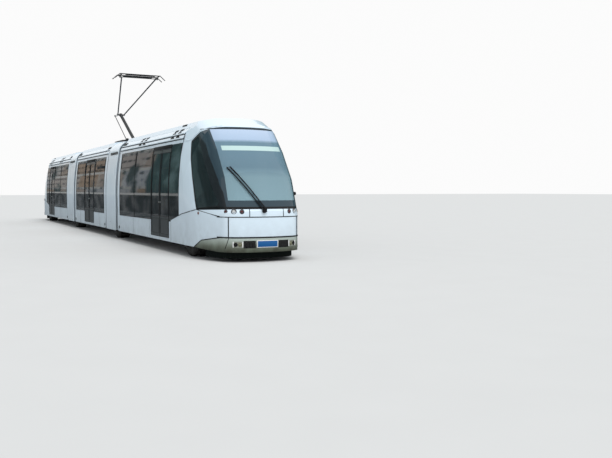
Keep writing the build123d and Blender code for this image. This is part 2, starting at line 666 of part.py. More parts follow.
def build_pantograph():
    bx, bz = PAN_BASE
    kx, kz = PAN_KNEE
    hx, hz = PAN_HEAD
    low, high = PAN_FRAME_Z
    x0, x1 = bx + PAN_FRAME_X[0], bx + PAN_FRAME_X[1]
    rail = box((x0 - 40, x1 + 40), (PAN_FRAME_Y - 30, PAN_FRAME_Y + 30), (low, high))
    lug = box((bx - 50, bx + 50), PAN_LUG_Y, (high, bz + 50))
    base = both_sides(rail)
    for x in (x0, x1):
        base += box((x - 30, x + 30), (-PAN_FRAME_Y, PAN_FRAME_Y), (low, high))
        post = disc((x, PAN_FRAME_Y, (COVER[2][1] + low) / 2), 45, low - COVER[2][1], (0, 0, 1))
        base += both_sides(post)
    base += both_sides(box((x0, x1), PAN_LUG_Y, (low, high)) + lug)
    rod_lug = box((PAN_ROD[0] - 40, PAN_ROD[0] + 40), (PAN_ROD_Y - 60, PAN_ROD_Y - 20), (high, PAN_ROD[1] + 30))
    base += rod_lug + box((PAN_ROD[0] - 40, PAN_ROD[0] + 40), (PAN_ROD_Y - 60, PAN_ROD_Y - 20), (low, high))
    base += bar((PAN_ROD[0], PAN_ROD_Y - 21, PAN_ROD[1]), (PAN_ROD[0], PAN_ROD_Y + 15, PAN_ROD[1]), 10)
    base -= bar((bx, -400, bz), (bx, 400, bz), ARM_SHAFT_R + PIN_GAP)
    lower = bar((bx, 0, bz), (kx, 0, kz), ARM_R) + bar((bx, -250, bz), (bx, 250, bz), ARM_SHAFT_R)
    lower += disc((kx, 0, kz), KNEE_R, 80)
    lower -= disc((kx, 0, kz), KNEE_SHAFT_R + PIN_GAP, 200)
    upper = bar((kx, -UPPER_KNEE_Y - 20, kz), (kx, UPPER_KNEE_Y + 20, kz), KNEE_SHAFT_R)
    upper += both_sides(bar((kx, UPPER_KNEE_Y, kz), (hx, UPPER_HEAD_Y, hz), UPPER_R))
    upper += bar((hx, -UPPER_HEAD_Y - 70, hz), (hx, UPPER_HEAD_Y + 70, hz), 12)
    tail_y = -UPPER_KNEE_Y - 10
    upper += bar((kx, tail_y, kz), (PAN_TAIL[0], tail_y, PAN_TAIL[1]), 14)
    upper += bar((PAN_TAIL[0], tail_y, PAN_TAIL[1]), (PAN_TAIL[0], PAN_ROD_Y - 18, PAN_TAIL[1]), TAIL_PIN_R)
    rod_end = Vector(PAN_TAIL[0], PAN_ROD_Y, PAN_TAIL[1])
    foot = Vector(PAN_ROD[0], PAN_ROD_Y, PAN_ROD[1])
    along = (rod_end - foot).normalized()
    rod = bar(tuple(foot + along * 20), tuple(rod_end - along * 25), ROD_R)
    rod += disc(tuple(foot), 26, 30) + disc(tuple(rod_end), 30, 30)
    rod -= disc(tuple(foot), 10 + PIN_GAP, 60)
    rod -= disc(tuple(rod_end), TAIL_PIN_R + TAIL_PLAY, 60)
    head = Part()
    for x in (hx - STRIP_X, hx + STRIP_X):
        strip = (x - STRIP_W / 2, x + STRIP_W / 2), (-HEAD_HALF, HEAD_HALF)
        head += box(*strip, (hz + STRIP_UP, hz + STRIP_UP + STRIP_H))
        mid = hz + STRIP_UP + STRIP_H / 2
        horn = bar((x, HEAD_HALF - 10, mid), (x, HORN_HALF, mid - HORN_DROP), STRIP_H / 2)
        head += both_sides(horn)
    hanger_y = (UPPER_HEAD_Y + 30, UPPER_HEAD_Y + 60)
    head += both_sides(box((hx - STRIP_X, hx + STRIP_X), hanger_y, (hz + STRIP_UP - 20, hz + STRIP_UP)))
    head += both_sides(box((hx - 25, hx + 25), hanger_y, (hz - 25, hz + STRIP_UP - 20)))
    head -= bar((hx, -700, hz), (hx, 700, hz), 12 + PIN_GAP)
    return {
        "pantograph_base": base,
        "pantograph_lower_arm": lower,
        "pantograph_upper_arm": upper,
        "pantograph_rod": rod,
        "pantograph_head": head,
    }


def build():
    """Every node by name."""
    parts = build_middle() | build_pantograph()
    for name, solid in (build_module() | build_end()).items():
        parts["front_" + name] = solid
        parts["rear_" + name] = mirror(solid, about=Plane.YZ)
    for end, way in (("front", 1), ("rear", -1)):
        for kind, x in (("module", MODULE_AXLE_X), ("end", END_AXLE_X)):
            for label, side in (("left", 1), ("right", -1)):
                parts[f"{end}_{kind}_wheel_{label}"] = wheel(way * x, side)
    return parts


os.makedirs("parts", exist_ok=True)
for node, solid in build().items():
    export_step(solid, f"parts/{node}.step")
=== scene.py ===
import json
from math import asin, cos, hypot, pi, radians, sin, sqrt

import bpy
from bpy.props import FloatProperty, FloatVectorProperty, IntProperty, PointerProperty
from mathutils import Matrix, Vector


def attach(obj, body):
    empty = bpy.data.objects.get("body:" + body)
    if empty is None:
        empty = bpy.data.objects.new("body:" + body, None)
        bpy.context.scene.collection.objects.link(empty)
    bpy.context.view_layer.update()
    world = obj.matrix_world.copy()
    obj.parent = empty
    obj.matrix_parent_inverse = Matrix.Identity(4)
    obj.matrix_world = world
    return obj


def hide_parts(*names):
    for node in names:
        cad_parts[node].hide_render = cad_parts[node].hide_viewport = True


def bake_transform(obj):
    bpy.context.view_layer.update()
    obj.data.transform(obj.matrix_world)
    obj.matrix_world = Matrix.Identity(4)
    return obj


bl_info = {
    "name": "Articulated guided tram",
    "version": (1, 0, 0),
    "blender": (4, 5, 0),
    "location": "3D View > Sidebar > Tram",
    "description": "Dresses the packed tram with paint, glass, fabric, lamps and fittings",
    "category": "Object",
}

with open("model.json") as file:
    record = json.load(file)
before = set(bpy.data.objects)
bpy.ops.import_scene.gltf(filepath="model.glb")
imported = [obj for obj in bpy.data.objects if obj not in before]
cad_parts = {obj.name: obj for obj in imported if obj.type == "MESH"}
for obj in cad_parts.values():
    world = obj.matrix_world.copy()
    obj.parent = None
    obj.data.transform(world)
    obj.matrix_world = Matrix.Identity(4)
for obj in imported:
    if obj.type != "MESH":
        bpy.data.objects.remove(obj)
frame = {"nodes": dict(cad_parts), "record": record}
NODES = frame["nodes"]
SLOT_OF_NODE = {part["node"]: part["material_slot"] for part in frame["record"]["subparts"]}
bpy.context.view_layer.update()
FINISH = {}
ENDS = (("front", 1), ("rear", -1))
SIDES = (("left", 1), ("right", -1))
OTHER_SIDE, OTHER_END = (1, -1, 1), (-1, 1, 1)

# Camera, light and stage
CAMERA_PLACE = (25.86, -5.83, 1.40)
CAMERA_YAW, CAMERA_PITCH = 153.5, -2.96
LENS, SENSOR, FAR_CLIP = 44.25, 36.0, 500
FLOOR_SIZE = 400
SKY = {"Color": (0.92, 0.96, 1.0, 1), "Strength": 0.66}
BACKDROP = {"Color": (0.97, 0.97, 0.97, 1), "Strength": 1.0}
SUN_STRENGTH, SUN_SPREAD, SUN_FROM = 2.3, 40, (0.75, 0.0, 1.15)
# Name, place, size and turn of the screens that the gloss shows
SCREENS = (("wall", (-34, 8, 5), (90, 10), pi / 2), ("ground", (-15, 4, 0.004), (140, 8), 0))
GREEN_FROM = -19.5

# The cars' cross-section
CAR_HALF, WAIST, SHOULDER, SIDE_R, SHOULDER_R = 1.075, 1.2, 2.5, 7.5, 0.36
TURN = asin((SHOULDER - WAIST) / SIDE_R)
SIDE_Y = CAR_HALF - SIDE_R
SHOULDER_Y = SIDE_Y + (SIDE_R - SHOULDER_R) * cos(TURN)
SHOULDER_Z = WAIST + (SIDE_R - SHOULDER_R) * sin(TURN)

# Cars and axle modules: places along the tram as x, heights as z
MIDDLE_END, CAR_START, MASK_START = 2.69, 4.31, 10.2
# A module's side stands a little proud of the cars' sides
MODULE_FRAME, MODULE_OUT = (3.0, 4.0), 0.025
LOUVRE_X, LOUVRES = (3.13, 4.09), [2.435 + i * 0.019 for i in range(4)]
BELLOWS_INSET, BELLOWS_DEPTH, BELLOWS_LOW = 0.06, 0.11, 0.31
DOORS = {"middle_car": (-0.79, 0.79), "front_car": (7.94, 9.45)}
DOOR_Z, DOOR_HEADER_Z = (0.33, 2.33), (2.336, 2.425)
DOOR_GLASS_Z, DOOR_PANEL_Z = (0.8, 2.25), (0.40, 0.74)
DOOR_STILE, BUTTON_Z = 0.049, 1.12
WINDOWS = {"middle_car": ((0.84, 2.44), (-2.44, -0.84)), "front_car": ((4.58, 7.94), (9.45, MASK_START))}
WINDOW_Z, FLAP_Z = (0.70, 2.41), (2.01, 2.36)
BAY_LENGTH, WINDOW_EDGE = 1.8, 0.03
HOPPER = ((1.19, 2.39), (2.07, 2.15))
SKIRT_SEAMS = {"middle_car": (-1.66, 1.66), "front_car": (6.14, 7.82, 9.60)}
SKIRT_SEAM_Z = (0.262, 0.69)
MARKER_Z, MIDDLE_MARKERS, FRONT_MARKER = 0.36, (-2.55, 2.55), 4.51
# Each seat's place and the way it faces, and the poles' places and the overhead rails' ends
SEATS = {"middle_car": ((1.25, 1), (2.05, 1), (-1.25, -1), (-2.05, -1)),
         "front_car": ((4.9, 1), (5.7, 1), (6.5, 1), (7.3, 1))}
POLES = {"middle_car": ((-1.0, -2.4, 1.0, 2.4), (-2.5, 2.5)),
         "front_car": ((4.7, 6.3, 7.75, 9.55), (4.5, 9.6))}
POLE_Y, POLE_Z, RAIL_Z, LIGHT_Z = 0.52, (0.31, 2.745), 1.95, (2.735, 2.75)

# Roof: angles in degrees above the side
ROOF_RUNS = {"middle_car": (0.03 - MIDDLE_END, MIDDLE_END - 0.03),
             "front_car": (CAR_START + 0.03, MASK_START)}
# The roof lines are black beads of painted shade: the dark shadow gaps under the rails
ROOF_RAILS, ROOF_SHADE_LINES, END_SLOT = (13.5, 30.5, 67), (9.3, 26, 62), 42
# How many hatches a car has, and where the last one ends at most
HATCHES = {"middle_car": (3, 1.0), "front_car": (4, MASK_START)}
HATCH_Z = (2.882, 2.8965)
COVER_SLOT, COVER_SLOT_AT, COVER_LEAN = (9.53, 9.85), (0.757, 2.822), 29.7
VENTS_X, VENTS_UP = (6.45, 6.85, 9.35, 9.75), (18, 34, 50)

# Nose: points are x and z from the side, y and z from the front
NOSE = ("front_mask", "front_pillars", "front_windscreen", "front_skirt", "front_bumper", "front_glazing")
BELT = ((9.62, 0.745), (10.4, 0.895), (11.28, 1.005), (12.1, 0.888))
BUMPER = ((11.20, 0.257), (11.5, 0.402), (12.1, 0.481))
CAB_WINDOW = ((10.88, 2.51), (10.645, 2.39), (11.30, 1.035), (12.05, 1.085))
# View, points, radius and how far out
NOSE_SEAMS = (
    ("side", BELT, 0.008, -0.001),
    ("front", ((-0.86, 0.88), (0.86, 0.88)), 0.009, -0.001),
    ("front", ((0.727, 0.50), (0.727, 0.88)), 0.009, 0.001),
    ("front", ((0.356, 0.88), (0.356, 1.04)), 0.007, 0.001),
    ("front", ((-0.86, 0.486), (0.86, 0.486)), 0.014, -0.001),
    ("side", BUMPER, 0.010, -0.001),
    ("front", ((0.722, 0.48), (0.775, 0.262)), 0.007, -0.001),
    ("front", ((-0.79, 2.66), (0.79, 2.66)), 0.008, -0.001),
    ("side", CAB_WINDOW, 0.007, -0.001),
)
LIP = ((10.24, 2.455), (10.50, 2.455), (10.60, 2.475), (10.86, 2.625), (11.28, 2.712))
CAMERA_EYE = (12.02, 1.33)
LAMP_Z = 0.985
# Place across, radius, share of it that is glass, near lens and far lens
LAMPS = ((0.76, 0.028, 0.70, "red", "beige"), (0.64, 0.042, 0.84, "clear", "clear"),
         (0.50, 0.034, 0.70, "red", "red"))
SIDE_MARKER = (11.39, 0.94)
FOG_Z, FOG_LIGHT, FOG_COVER, FOG_BARS = 0.352, 0.535, 0.612, (0.488, 0.654)
GRILLES, GRILLE_WIDTH, SLATS = (0.244, 0.302, 0.360, 0.418), 0.053, [0.297 + i * 0.027 for i in range(5)]
PLATE_Z = 0.36

# Wheels and pantograph
AXLES = {"module": 3.5, "end": 10.5}
# Radius, width and place across
TYRE = (0.535, 0.35, 0.755)
INSULATORS, CARBON_OUT, NUT_OUT = ((1.19, 2.21), (0.41, -0.41)), 0.18, 0.125
PAN_KNEE, PAN_HEAD = (0.11, 3.94), (2.62, 4.85)

# Finishes
PAINT = {"grain": (0.0008, 300), "spread": 0.015, "dirt": 0.5, "coat": 0.4, "bump": 0.08}
ROAD_DIRT, LINING = (0.16, 0.145, 0.12), (0.05, 0.055, 0.06)
PAINT_DEPTH = 0.006
NOSE_MIDDLE = (10.5, 1.3)
# The windscreen's clear part and the blind across it
SCREEN_EDGE, SCREEN_Z, BLIND_HALF, BLIND_Z = 0.705, (1.20, 2.638), 0.63, (2.19, 2.285)
# Colour by height: the glass's tint, with a painted reflection of the pale sky, strongest in the sunshade
# band on top
SCREEN_TINT_AND_SKY_REFLECTION = ((1.0, (0.28, 0.43, 0.49)), (1.65, (0.26, 0.40, 0.46)), (1.85, (0.17, 0.28, 0.35)),
               (2.36, (0.18, 0.30, 0.38)), (2.42, (0.42, 0.54, 0.70)), (2.7, (0.50, 0.61, 0.77)))
SCREEN_ALPHA = ((1.0, 0.66), (1.9, 0.62), (2.36, 0.66), (2.42, 0.85), (2.7, 0.9))
# Height and a twentieth of the distance along, where the slate ends
PILLAR_EDGE = ((1.05, 0.6115), (1.42, 0.603), (1.79, 0.589), (2.29, 0.5655), (2.56, 0.5435), (2.75, 0.52))
PILLAR_FOOT = 1.078
# Painted shade: the bumper's colour darkened towards its lower edge, where it turns under
BUMPER_SHADE = ((0.22, (0.20, 0.22, 0.17)), (0.30, (0.36, 0.38, 0.32)), (0.38, (0.62, 0.64, 0.60)),
                (0.47, (0.85, 0.86, 0.86)))
REFLECTOR, REFLECTOR_R = (3.40, 0.47), 0.022
PATCHES = ({"Color1": (0.72, 0.54, 0.40, 1), "Color2": (0.80, 0.86, 0.92, 1), "Mortar": (1.0, 1.0, 0.96, 1),
            "Scale": 0.30, "Mortar Size": 0.05, "Brick Width": 2.6, "Row Height": 0.62},
           {"Color1": (0.20, 0.24, 0.27, 1), "Color2": (0.30, 0.32, 0.34, 1), "Mortar": (1.0, 1.0, 1.0, 1),
            "Scale": 0.55, "Mortar Size": 0.16, "Brick Width": 0.9, "Row Height": 0.45})


class TramSizes(bpy.types.PropertyGroup):
    """Sizes that a user may change."""

    pleats: IntProperty(name="Bellows pleats", description="Folds in each bellows", default=7, min=3,
                        max=12)
    seal: FloatProperty(name="Door seal", description="Radius of the rubber beads round doors", default=0.009,
                        min=0.004, max=0.02, unit="LENGTH")
    plate: FloatVectorProperty(name="Plate", description="Width and height of the blank plate", size=2,
                               default=(0.44, 0.14), unit="LENGTH")
    grooves: IntProperty(name="Tread grooves", description="Grooves round each tyre", default=4, min=2,
                         max=6)
    lugs: IntProperty(name="Shoulder lugs", description="Lugs on each shoulder of a tyre", default=56, min=24,
                      max=72)


class TramColours(bpy.types.PropertyGroup):
    """Colours that a user may change."""

    # The body's white paint has a blue cast that is partly painted light: the cool tint of an overcast sky
    body: FloatVectorProperty(name="Body", description="White paint", subtype="COLOR",
                              default=(0.69, 0.81, 0.90))
    trim: FloatVectorProperty(name="Trim", description="Black rubber and trim", subtype="COLOR",
                              default=(0.012, 0.012, 0.013))
    door: FloatVectorProperty(name="Doors", description="Dark door paint", subtype="COLOR",
                              default=(0.022, 0.028, 0.031))
    pillar: FloatVectorProperty(name="Pillars", description="Slate band beside the windscreen",
                                subtype="COLOR", default=(0.034, 0.056, 0.072))
    plate: FloatVectorProperty(name="Plate", description="Blue of the blank plate", subtype="COLOR",
                               default=(0.0, 0.085, 0.27))


def sizes():
    return bpy.context.scene.tram_sizes


# Shapes by hand

def fresh():
    """Object mode with nothing selected."""
    if bpy.context.object and bpy.context.object.mode != "OBJECT":
        bpy.ops.object.mode_set(mode="OBJECT")
    bpy.ops.object.select_all(action="DESELECT")


def only(piece):
    fresh()
    piece.select_set(True)
    bpy.context.view_layer.objects.active = piece


def edit(piece):
    """Edit mode on one piece with all of it selected."""
    only(piece)
    bpy.ops.object.mode_set(mode="EDIT")
    bpy.ops.mesh.select_all(action="SELECT")


def applied(piece):
    """The piece with its place, turn and scale moved into its mesh."""
    only(piece)
    bpy.ops.object.transform_apply(location=True, rotation=True, scale=True)
    return piece


def just_made(name):
    """The object that the last step added, named and with its place applied."""
    piece = bpy.context.object
    piece.name = name
    return applied(piece)


def settle(piece, angle=30):
    """Doubles merged, faces outwards, place applied and smooth by angle."""
    edit(piece)
    bpy.ops.mesh.remove_doubles(threshold=0.00002)
    bpy.ops.mesh.normals_make_consistent(inside=False)
    applied(piece)
    bpy.ops.object.shade_smooth_by_angle(angle=radians(angle))
    return piece


def flipped(piece):
    """The piece with its faces turned round."""
    edit(piece)
    bpy.ops.mesh.flip_normals()
    fresh()
    return piece


def leaned(piece, angle, where, axis=0):
    """The piece turned about X, or about Y with axis 1, and moved to its place."""
    turn = [0, 0, 0]
    turn[axis] = angle
    piece.rotation_mode = "XYZ"
    piece.rotation_euler = turn
    piece.location = where
    return applied(piece)


def cube(name, size, centre):
    """A plain box of a size round a centre."""
    fresh()
    bpy.ops.mesh.primitive_cube_add(size=1, location=centre, scale=size)
    return just_made(name)


def block(name, low, high, bevel=0.002, segments=2):
    """A box with rounded edges between two corners."""
    low, high = Vector(low), Vector(high)
    piece = cube(name, high - low, (low + high) / 2)
    edit(piece)
    bpy.ops.mesh.bevel(offset=bevel, segments=segments, affect="EDGES")
    return settle(piece)


def turned(name, rings, where, axis, sides=32, angle=30):
    """A round piece: rings of (radius, height) extruded one after the other and stood on an axis."""
    (r_last, h_last), *rest = rings
    fresh()
    bpy.ops.mesh.primitive_circle_add(vertices=sides, radius=r_last, fill_type="NGON",
                                      location=(0, 0, h_last))
    piece = just_made(name)
    edit(piece)
    for r, h in rest:
        bpy.ops.mesh.extrude_region_move(TRANSFORM_OT_translate={"value": (0, 0, h - h_last)})
        k = r / r_last
        bpy.ops.transform.resize(value=(k, k, 1), center_override=(0, 0, h))
        r_last, h_last = r, h
    fresh()
    piece.rotation_mode = "QUATERNION"
    piece.rotation_quaternion = Vector((0, 0, 1)).rotation_difference(Vector(axis).normalized())
    piece.location = where
    return settle(piece, angle)


def drawn(name, points, order=0):
    """A curve along points; with an order it runs as a NURBS spline."""
    fresh()
    bpy.ops.curve.primitive_nurbs_path_add(location=(0, 0, 0))
    piece = bpy.context.object
    piece.name = name
    piece.data.splines.clear()
    spline = piece.data.splines.new("NURBS" if order else "POLY")
    spline.points.add(len(points) - 1)
    for p, q in zip(spline.points, points):
        p.co = (*q, 1)
    if order:
        spline.order_u = order
        spline.use_endpoint_u = True
    piece.data.dimensions = "3D"
    return piece


def tube(name, points, radius, sides=2, order=0):
    """A bead or pipe along points."""
    line = drawn(name, points, order).data
    line.bevel_depth = radius
    line.bevel_resolution = sides
    line.use_fill_caps = True
    bpy.ops.object.convert(target="MESH")
    return settle(bpy.context.object, 50)


def joined(name, pieces):
    """Several meshes as one piece."""
    fresh()
    for p in pieces:
        p.select_set(True)
    bpy.context.view_layer.objects.active = pieces[0]
    if len(pieces) > 1:
        bpy.ops.object.join()
    piece = bpy.context.object
    piece.name = name
    return piece


def mirrored(piece, name, scale):
    """A copy with its own mesh, mirrored through the tram's middle, its faces turned right again."""
    only(piece)
    bpy.ops.object.duplicate(linked=False)
    twin = bpy.context.object
    twin.name = name
    twin.scale = scale
    bpy.ops.object.transform_apply(location=False, rotation=False, scale=True)
    return flipped(twin)


def with_twins(pieces):
    """The pieces and their mirrors on the tram's other side, as a list of one piece."""
    half = joined("half", pieces)
    return [joined("pair", [half, mirrored(half, "twin", OTHER_SIDE)])]


def place(piece, body, slot, finish=None):
    """The piece rides on its body and takes the finish of its slot, unless another is named."""
    piece.data.materials.clear()
    piece.data.materials.append(FINISH[finish or slot])
    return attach(piece, body)


def both_ends(piece, body, slot, finish=None):
    """The piece at the front end and its mirror at the rear end."""
    rear_name, rear_body = (name.replace("front_", "rear_", 1) for name in (piece.name, body))
    twin = mirrored(piece, rear_name, OTHER_END)
    place(piece, body, slot, finish)
    place(twin, rear_body, slot, finish)
    return piece, twin


def fit(name, pieces, slot, finish=None, body="front_car"):
    """The pieces as one, on the middle car once or else at both ends."""
    if body != "middle_car":
        return both_ends(joined(f"front_{name}", pieces), body, slot, finish)
    piece = joined(f"middle_{name}", pieces)
    place(piece, body, slot, finish)
    return (piece,)


def side_y(z, out=0.0):
    """Half-width of the cars at a height, and how far out from it."""
    rise = max(0, z - WAIST)
    return SIDE_Y + sqrt((SIDE_R + out) ** 2 - rise * rise)


def shoulder(angle, out=0.0):
    """Point of the roof shoulder at an angle above the side, y and z."""
    a = radians(angle)
    return SHOULDER_Y + (SHOULDER_R + out) * cos(a), SHOULDER_Z + (SHOULDER_R + out) * sin(a)


def touch(origin, direction, *names):
    """Where a ray first meets the named solids, and the normal there."""
    origin, direction = Vector(origin), Vector(direction)
    hits = []
    for name in names:
        hit, point, normal, _ = NODES[name].ray_cast(origin, direction)
        if hit:
            hits.append(((point - origin).length, point, normal))
    if not hits:
        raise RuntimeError(f"no solid among {names} lies on the ray from {tuple(origin)}")
    return min(hits, key=lambda found: found[0])[1:]


def ahead(y, z, *names):
    """Where the named solids are first met from the front, and the normal there."""
    return touch((14, y, z), (-1, 0, 0), *names)


def beside(x, z, side, *names):
    """Where the named solids are first met from one side, and the normal there."""
    return touch((x, 3 * side, z), (0, -side, 0), *names)


# Materials

def feed(tree, node, values):
    """Gives each named or numbered input its value, or a link from another node's output."""
    for key, value in values.items():
        if isinstance(value, bpy.types.NodeSocket):
            tree.links.new(value, node.inputs[key])
        else:
            node.inputs[key].default_value = value


def add(tree, kind, values=None, **settings):
    """A new node with its settings and inputs."""
    node = tree.nodes.new(kind)
    for name, value in settings.items():
        setattr(node, name, value)
    feed(tree, node, values or {})
    return node


def calc(tree, kind, *values):
    """The outcome of a math node; a third value is taken in by a second node."""
    out = add(tree, "ShaderNodeMath", dict(enumerate(values[:2])), operation=kind).outputs["Value"]
    return calc(tree, kind, out, *values[2:]) if values[2:] else out


def coordinates(tree):
    """The place on the tram as one output."""
    return tree.nodes["Texture Coordinate"].outputs["Object"]


def split_place(tree):
    """X, Y and Z of the place on the tram."""
    return add(tree, "ShaderNodeSeparateXYZ", {"Vector": coordinates(tree)}).outputs[:]


def noise(tree, scale, detail):
    """Soft clouds over the tram's own coordinates."""
    values = {"Vector": coordinates(tree), "Scale": scale, "Detail": detail}
    return add(tree, "ShaderNodeTexNoise", values).outputs["Fac"]


def remap(tree, value, start=(0, 1), end=(0, 1)):
    """A value taken from one span to another and held within it."""
    values = {"Value": value, "From Min": start[0], "From Max": start[1], "To Min": end[0], "To Max": end[1]}
    return add(tree, "ShaderNodeMapRange", values).outputs["Result"]


def mixed(tree, factor, a, b, blend="MIX"):
    """Colour a where the factor is 0, b where it is 1."""
    a, b = ((*c, 1) if isinstance(c, tuple) else c for c in (a, b))
    values = {"Factor": factor, "A": a, "B": b}
    return add(tree, "ShaderNodeMix", values, data_type="RGBA", blend_type=blend).outputs["Result"]


def ramp(tree, value, stops):
    """A ramp through (place, colour) stops over a value; a grey stop may be given as one number."""
    low, high = stops[0][0], stops[-1][0]
    node = add(tree, "ShaderNodeValToRGB", {"Fac": remap(tree, value, (low, high))})
    points = node.color_ramp.elements
    while len(points) < len(stops):
        points.new(0.5)
    for point, (at, colour) in zip(points, stops):
        point.position = (at - low) / (high - low)
        point.color = (*colour, 1) if isinstance(colour, tuple) else (colour, colour, colour, 1)
    return node.outputs["Color"]


def surface(name, colour, roughness, grain=None, spread=0.06, bump=0.15, dirt=0.0, dirt_top=1.0, coat=0.0,
            specular=0.5, metallic=0.0, alpha=1.0):
    """A finish with slow colour variation, fine grain (depth, scale) and road dirt low down if wanted."""
    material = bpy.data.materials.new(name)
    material.use_nodes = True
    tree = material.node_tree
    add(tree, "ShaderNodeTexCoord")
    darker = tuple(max(0, c * (1 - spread)) for c in colour)
    lighter = tuple(min(1, c * (1 + spread)) for c in colour)
    base = mixed(tree, noise(tree, 1.3, 4), darker, lighter)
    if dirt:
        low = remap(tree, split_place(tree)[2], (0.2, dirt_top), (dirt, 0))
        base = mixed(tree, calc(tree, "MULTIPLY", low, noise(tree, 6, 6)), base, ROAD_DIRT)
    values = {"Base Color": base, "Roughness": roughness, "Metallic": metallic, "Coat Weight": coat,
              "Specular IOR Level": specular, "Alpha": alpha}
    if grain:
        depth, scale = grain
        fine = noise(tree, scale, 8)
        relief = add(tree, "ShaderNodeBump", {"Height": fine, "Strength": bump, "Distance": depth})
        values["Normal"] = relief.outputs["Normal"]
        values["Roughness"] = remap(tree, fine, end=(max(0.02, roughness * 0.85), min(1, roughness * 1.15)))
    feed(tree, tree.nodes["Principled BSDF"], values)
    return material


def recolour(material, factor, colour, blend="MIX"):
    """The finish with another colour laid over its own where the factor is 1."""
    tree = material.node_tree
    shader = tree.nodes["Principled BSDF"]
    was = shader.inputs["Base Color"].links[0].from_socket
    feed(tree, shader, {"Base Color": mixed(tree, factor, was, colour, blend)})
    return material


def body_paint(colour):
    """White paint outside, and a dark lining where the wall lies deeper than the paint."""
    material = surface("shell_paint", colour, 0.22, **PAINT)
    tree = material.node_tree
    _, y, z = split_place(tree)
    y = calc(tree, "ABSOLUTE", y)

    def depth(radius, centre_y, centre_z):
        dy = calc(tree, "MAXIMUM", calc(tree, "SUBTRACT", y, centre_y), 0)
        dz = calc(tree, "MAXIMUM", calc(tree, "SUBTRACT", z, centre_z), 0)
        square = calc(tree, "ADD", calc(tree, "MULTIPLY", dy, dy), calc(tree, "MULTIPLY", dz, dz))
        return calc(tree, "SUBTRACT", radius, calc(tree, "SQRT", square))

    values = {"Factor": calc(tree, "GREATER_THAN", z, SHOULDER), "A": depth(SIDE_R, SIDE_Y, WAIST),
              "B": depth(SHOULDER_R, SHOULDER_Y, SHOULDER_Z)}
    pick = add(tree, "ShaderNodeMix", values, data_type="FLOAT")
    return recolour(material, calc(tree, "GREATER_THAN", pick.outputs["Result"], PAINT_DEPTH), LINING)


def nose_paint(name, colour, inner, roughness=0.22, **look):
    """Paint on the faces that look away from the nose's middle, and a dark lining on the others."""
    material = surface(name, colour, roughness, **(PAINT | look))
    tree = material.node_tree
    x = calc(tree, "MULTIPLY", calc(tree, "SIGN", split_place(tree)[0]), NOSE_MIDDLE[0])
    middle = add(tree, "ShaderNodeCombineXYZ", {"X": x, "Z": NOSE_MIDDLE[1]}).outputs["Vector"]
    away = add(tree, "ShaderNodeVectorMath", {0: coordinates(tree), 1: middle}, operation="SUBTRACT")
    normal = add(tree, "ShaderNodeNewGeometry").outputs["True Normal"]
    pair = {0: away.outputs["Vector"], 1: normal}
    facing = add(tree, "ShaderNodeVectorMath", pair, operation="DOT_PRODUCT")
    return recolour(material, calc(tree, "LESS_THAN", facing.outputs["Value"], 0), inner)


def screen_glass(frit):
    """Tinted windscreen: printed border, grey-blue middle, pale blind across it, lavender sunshade band on
    top; its tint is partly a painted reflection of the sky.
    """
    material = surface("windscreen_glass", (0.3, 0.36, 0.4), 0.05, spread=0.02, specular=0.3)
    tree = material.node_tree
    _, y, z = split_place(tree)
    wide = calc(tree, "ABSOLUTE", y)
    border = calc(tree, "MAXIMUM", calc(tree, "LESS_THAN", z, SCREEN_Z[0]),
                  calc(tree, "GREATER_THAN", wide, SCREEN_EDGE), calc(tree, "GREATER_THAN", z, SCREEN_Z[1]))
    blind = calc(tree, "MULTIPLY", calc(tree, "GREATER_THAN", z, BLIND_Z[0]),
                 calc(tree, "LESS_THAN", z, BLIND_Z[1]), calc(tree, "LESS_THAN", wide, BLIND_HALF))
    colour = mixed(tree, blind, ramp(tree, z, SCREEN_TINT_AND_SKY_REFLECTION), (0.52, 0.69, 0.67))
    alpha = calc(tree, "MAXIMUM", calc(tree, "MULTIPLY", blind, 0.92), border, ramp(tree, z, SCREEN_ALPHA))
    values = {"Base Color": mixed(tree, border, colour, frit), "Alpha": alpha}
    feed(tree, tree.nodes["Principled BSDF"], values)
    return material


def pillar_paint(slate, glass):
    """Slate beside the windscreen, and printed black glass behind it along the cab window."""
    material = nose_paint("pillar_slate", slate, (0.02, 0.02, 0.02), 0.38, dirt=0, coat=0, specular=0.3)
    tree = material.node_tree
    x, _, z = split_place(tree)
    far = calc(tree, "MULTIPLY", calc(tree, "ABSOLUTE", x), 0.05)
    recolour(material, calc(tree, "LESS_THAN", far, ramp(tree, z, PILLAR_EDGE)), glass)
    return recolour(material, calc(tree, "LESS_THAN", z, PILLAR_FOOT), (0.004, 0.005, 0.006))


def bumper_paint():
    """Grey moulding with painted shade that darkens it towards its lower edge, where it turns under."""
    # The heavy road dirt here is partly real dirt and partly painted shade low on the bumper
    look = {"dirt": 1.6, "dirt_top": 0.5, "coat": 0.1}
    material = nose_paint("bumper_moulding", (0.56, 0.64, 0.60), (0.03, 0.03, 0.03), 0.4, **look)
    tree = material.node_tree
    return recolour(material, 1.0, ramp(tree, split_place(tree)[2], BUMPER_SHADE), "MULTIPLY")


def module_paint(colour):
    """White paint with a small flush reddish reflector low on each side of an axle module."""
    material = surface("module_paint", colour, 0.24, **PAINT)
    tree = material.node_tree
    x, _, z = split_place(tree)
    along = calc(tree, "SUBTRACT", calc(tree, "ABSOLUTE", x), REFLECTOR[0])
    up = calc(tree, "SUBTRACT", z, REFLECTOR[1])
    far = calc(tree, "ADD", calc(tree, "MULTIPLY", along, along), calc(tree, "MULTIPLY", up, up))
    return recolour(material, calc(tree, "LESS_THAN", far, REFLECTOR_R ** 2), (0.18, 0.03, 0.02))


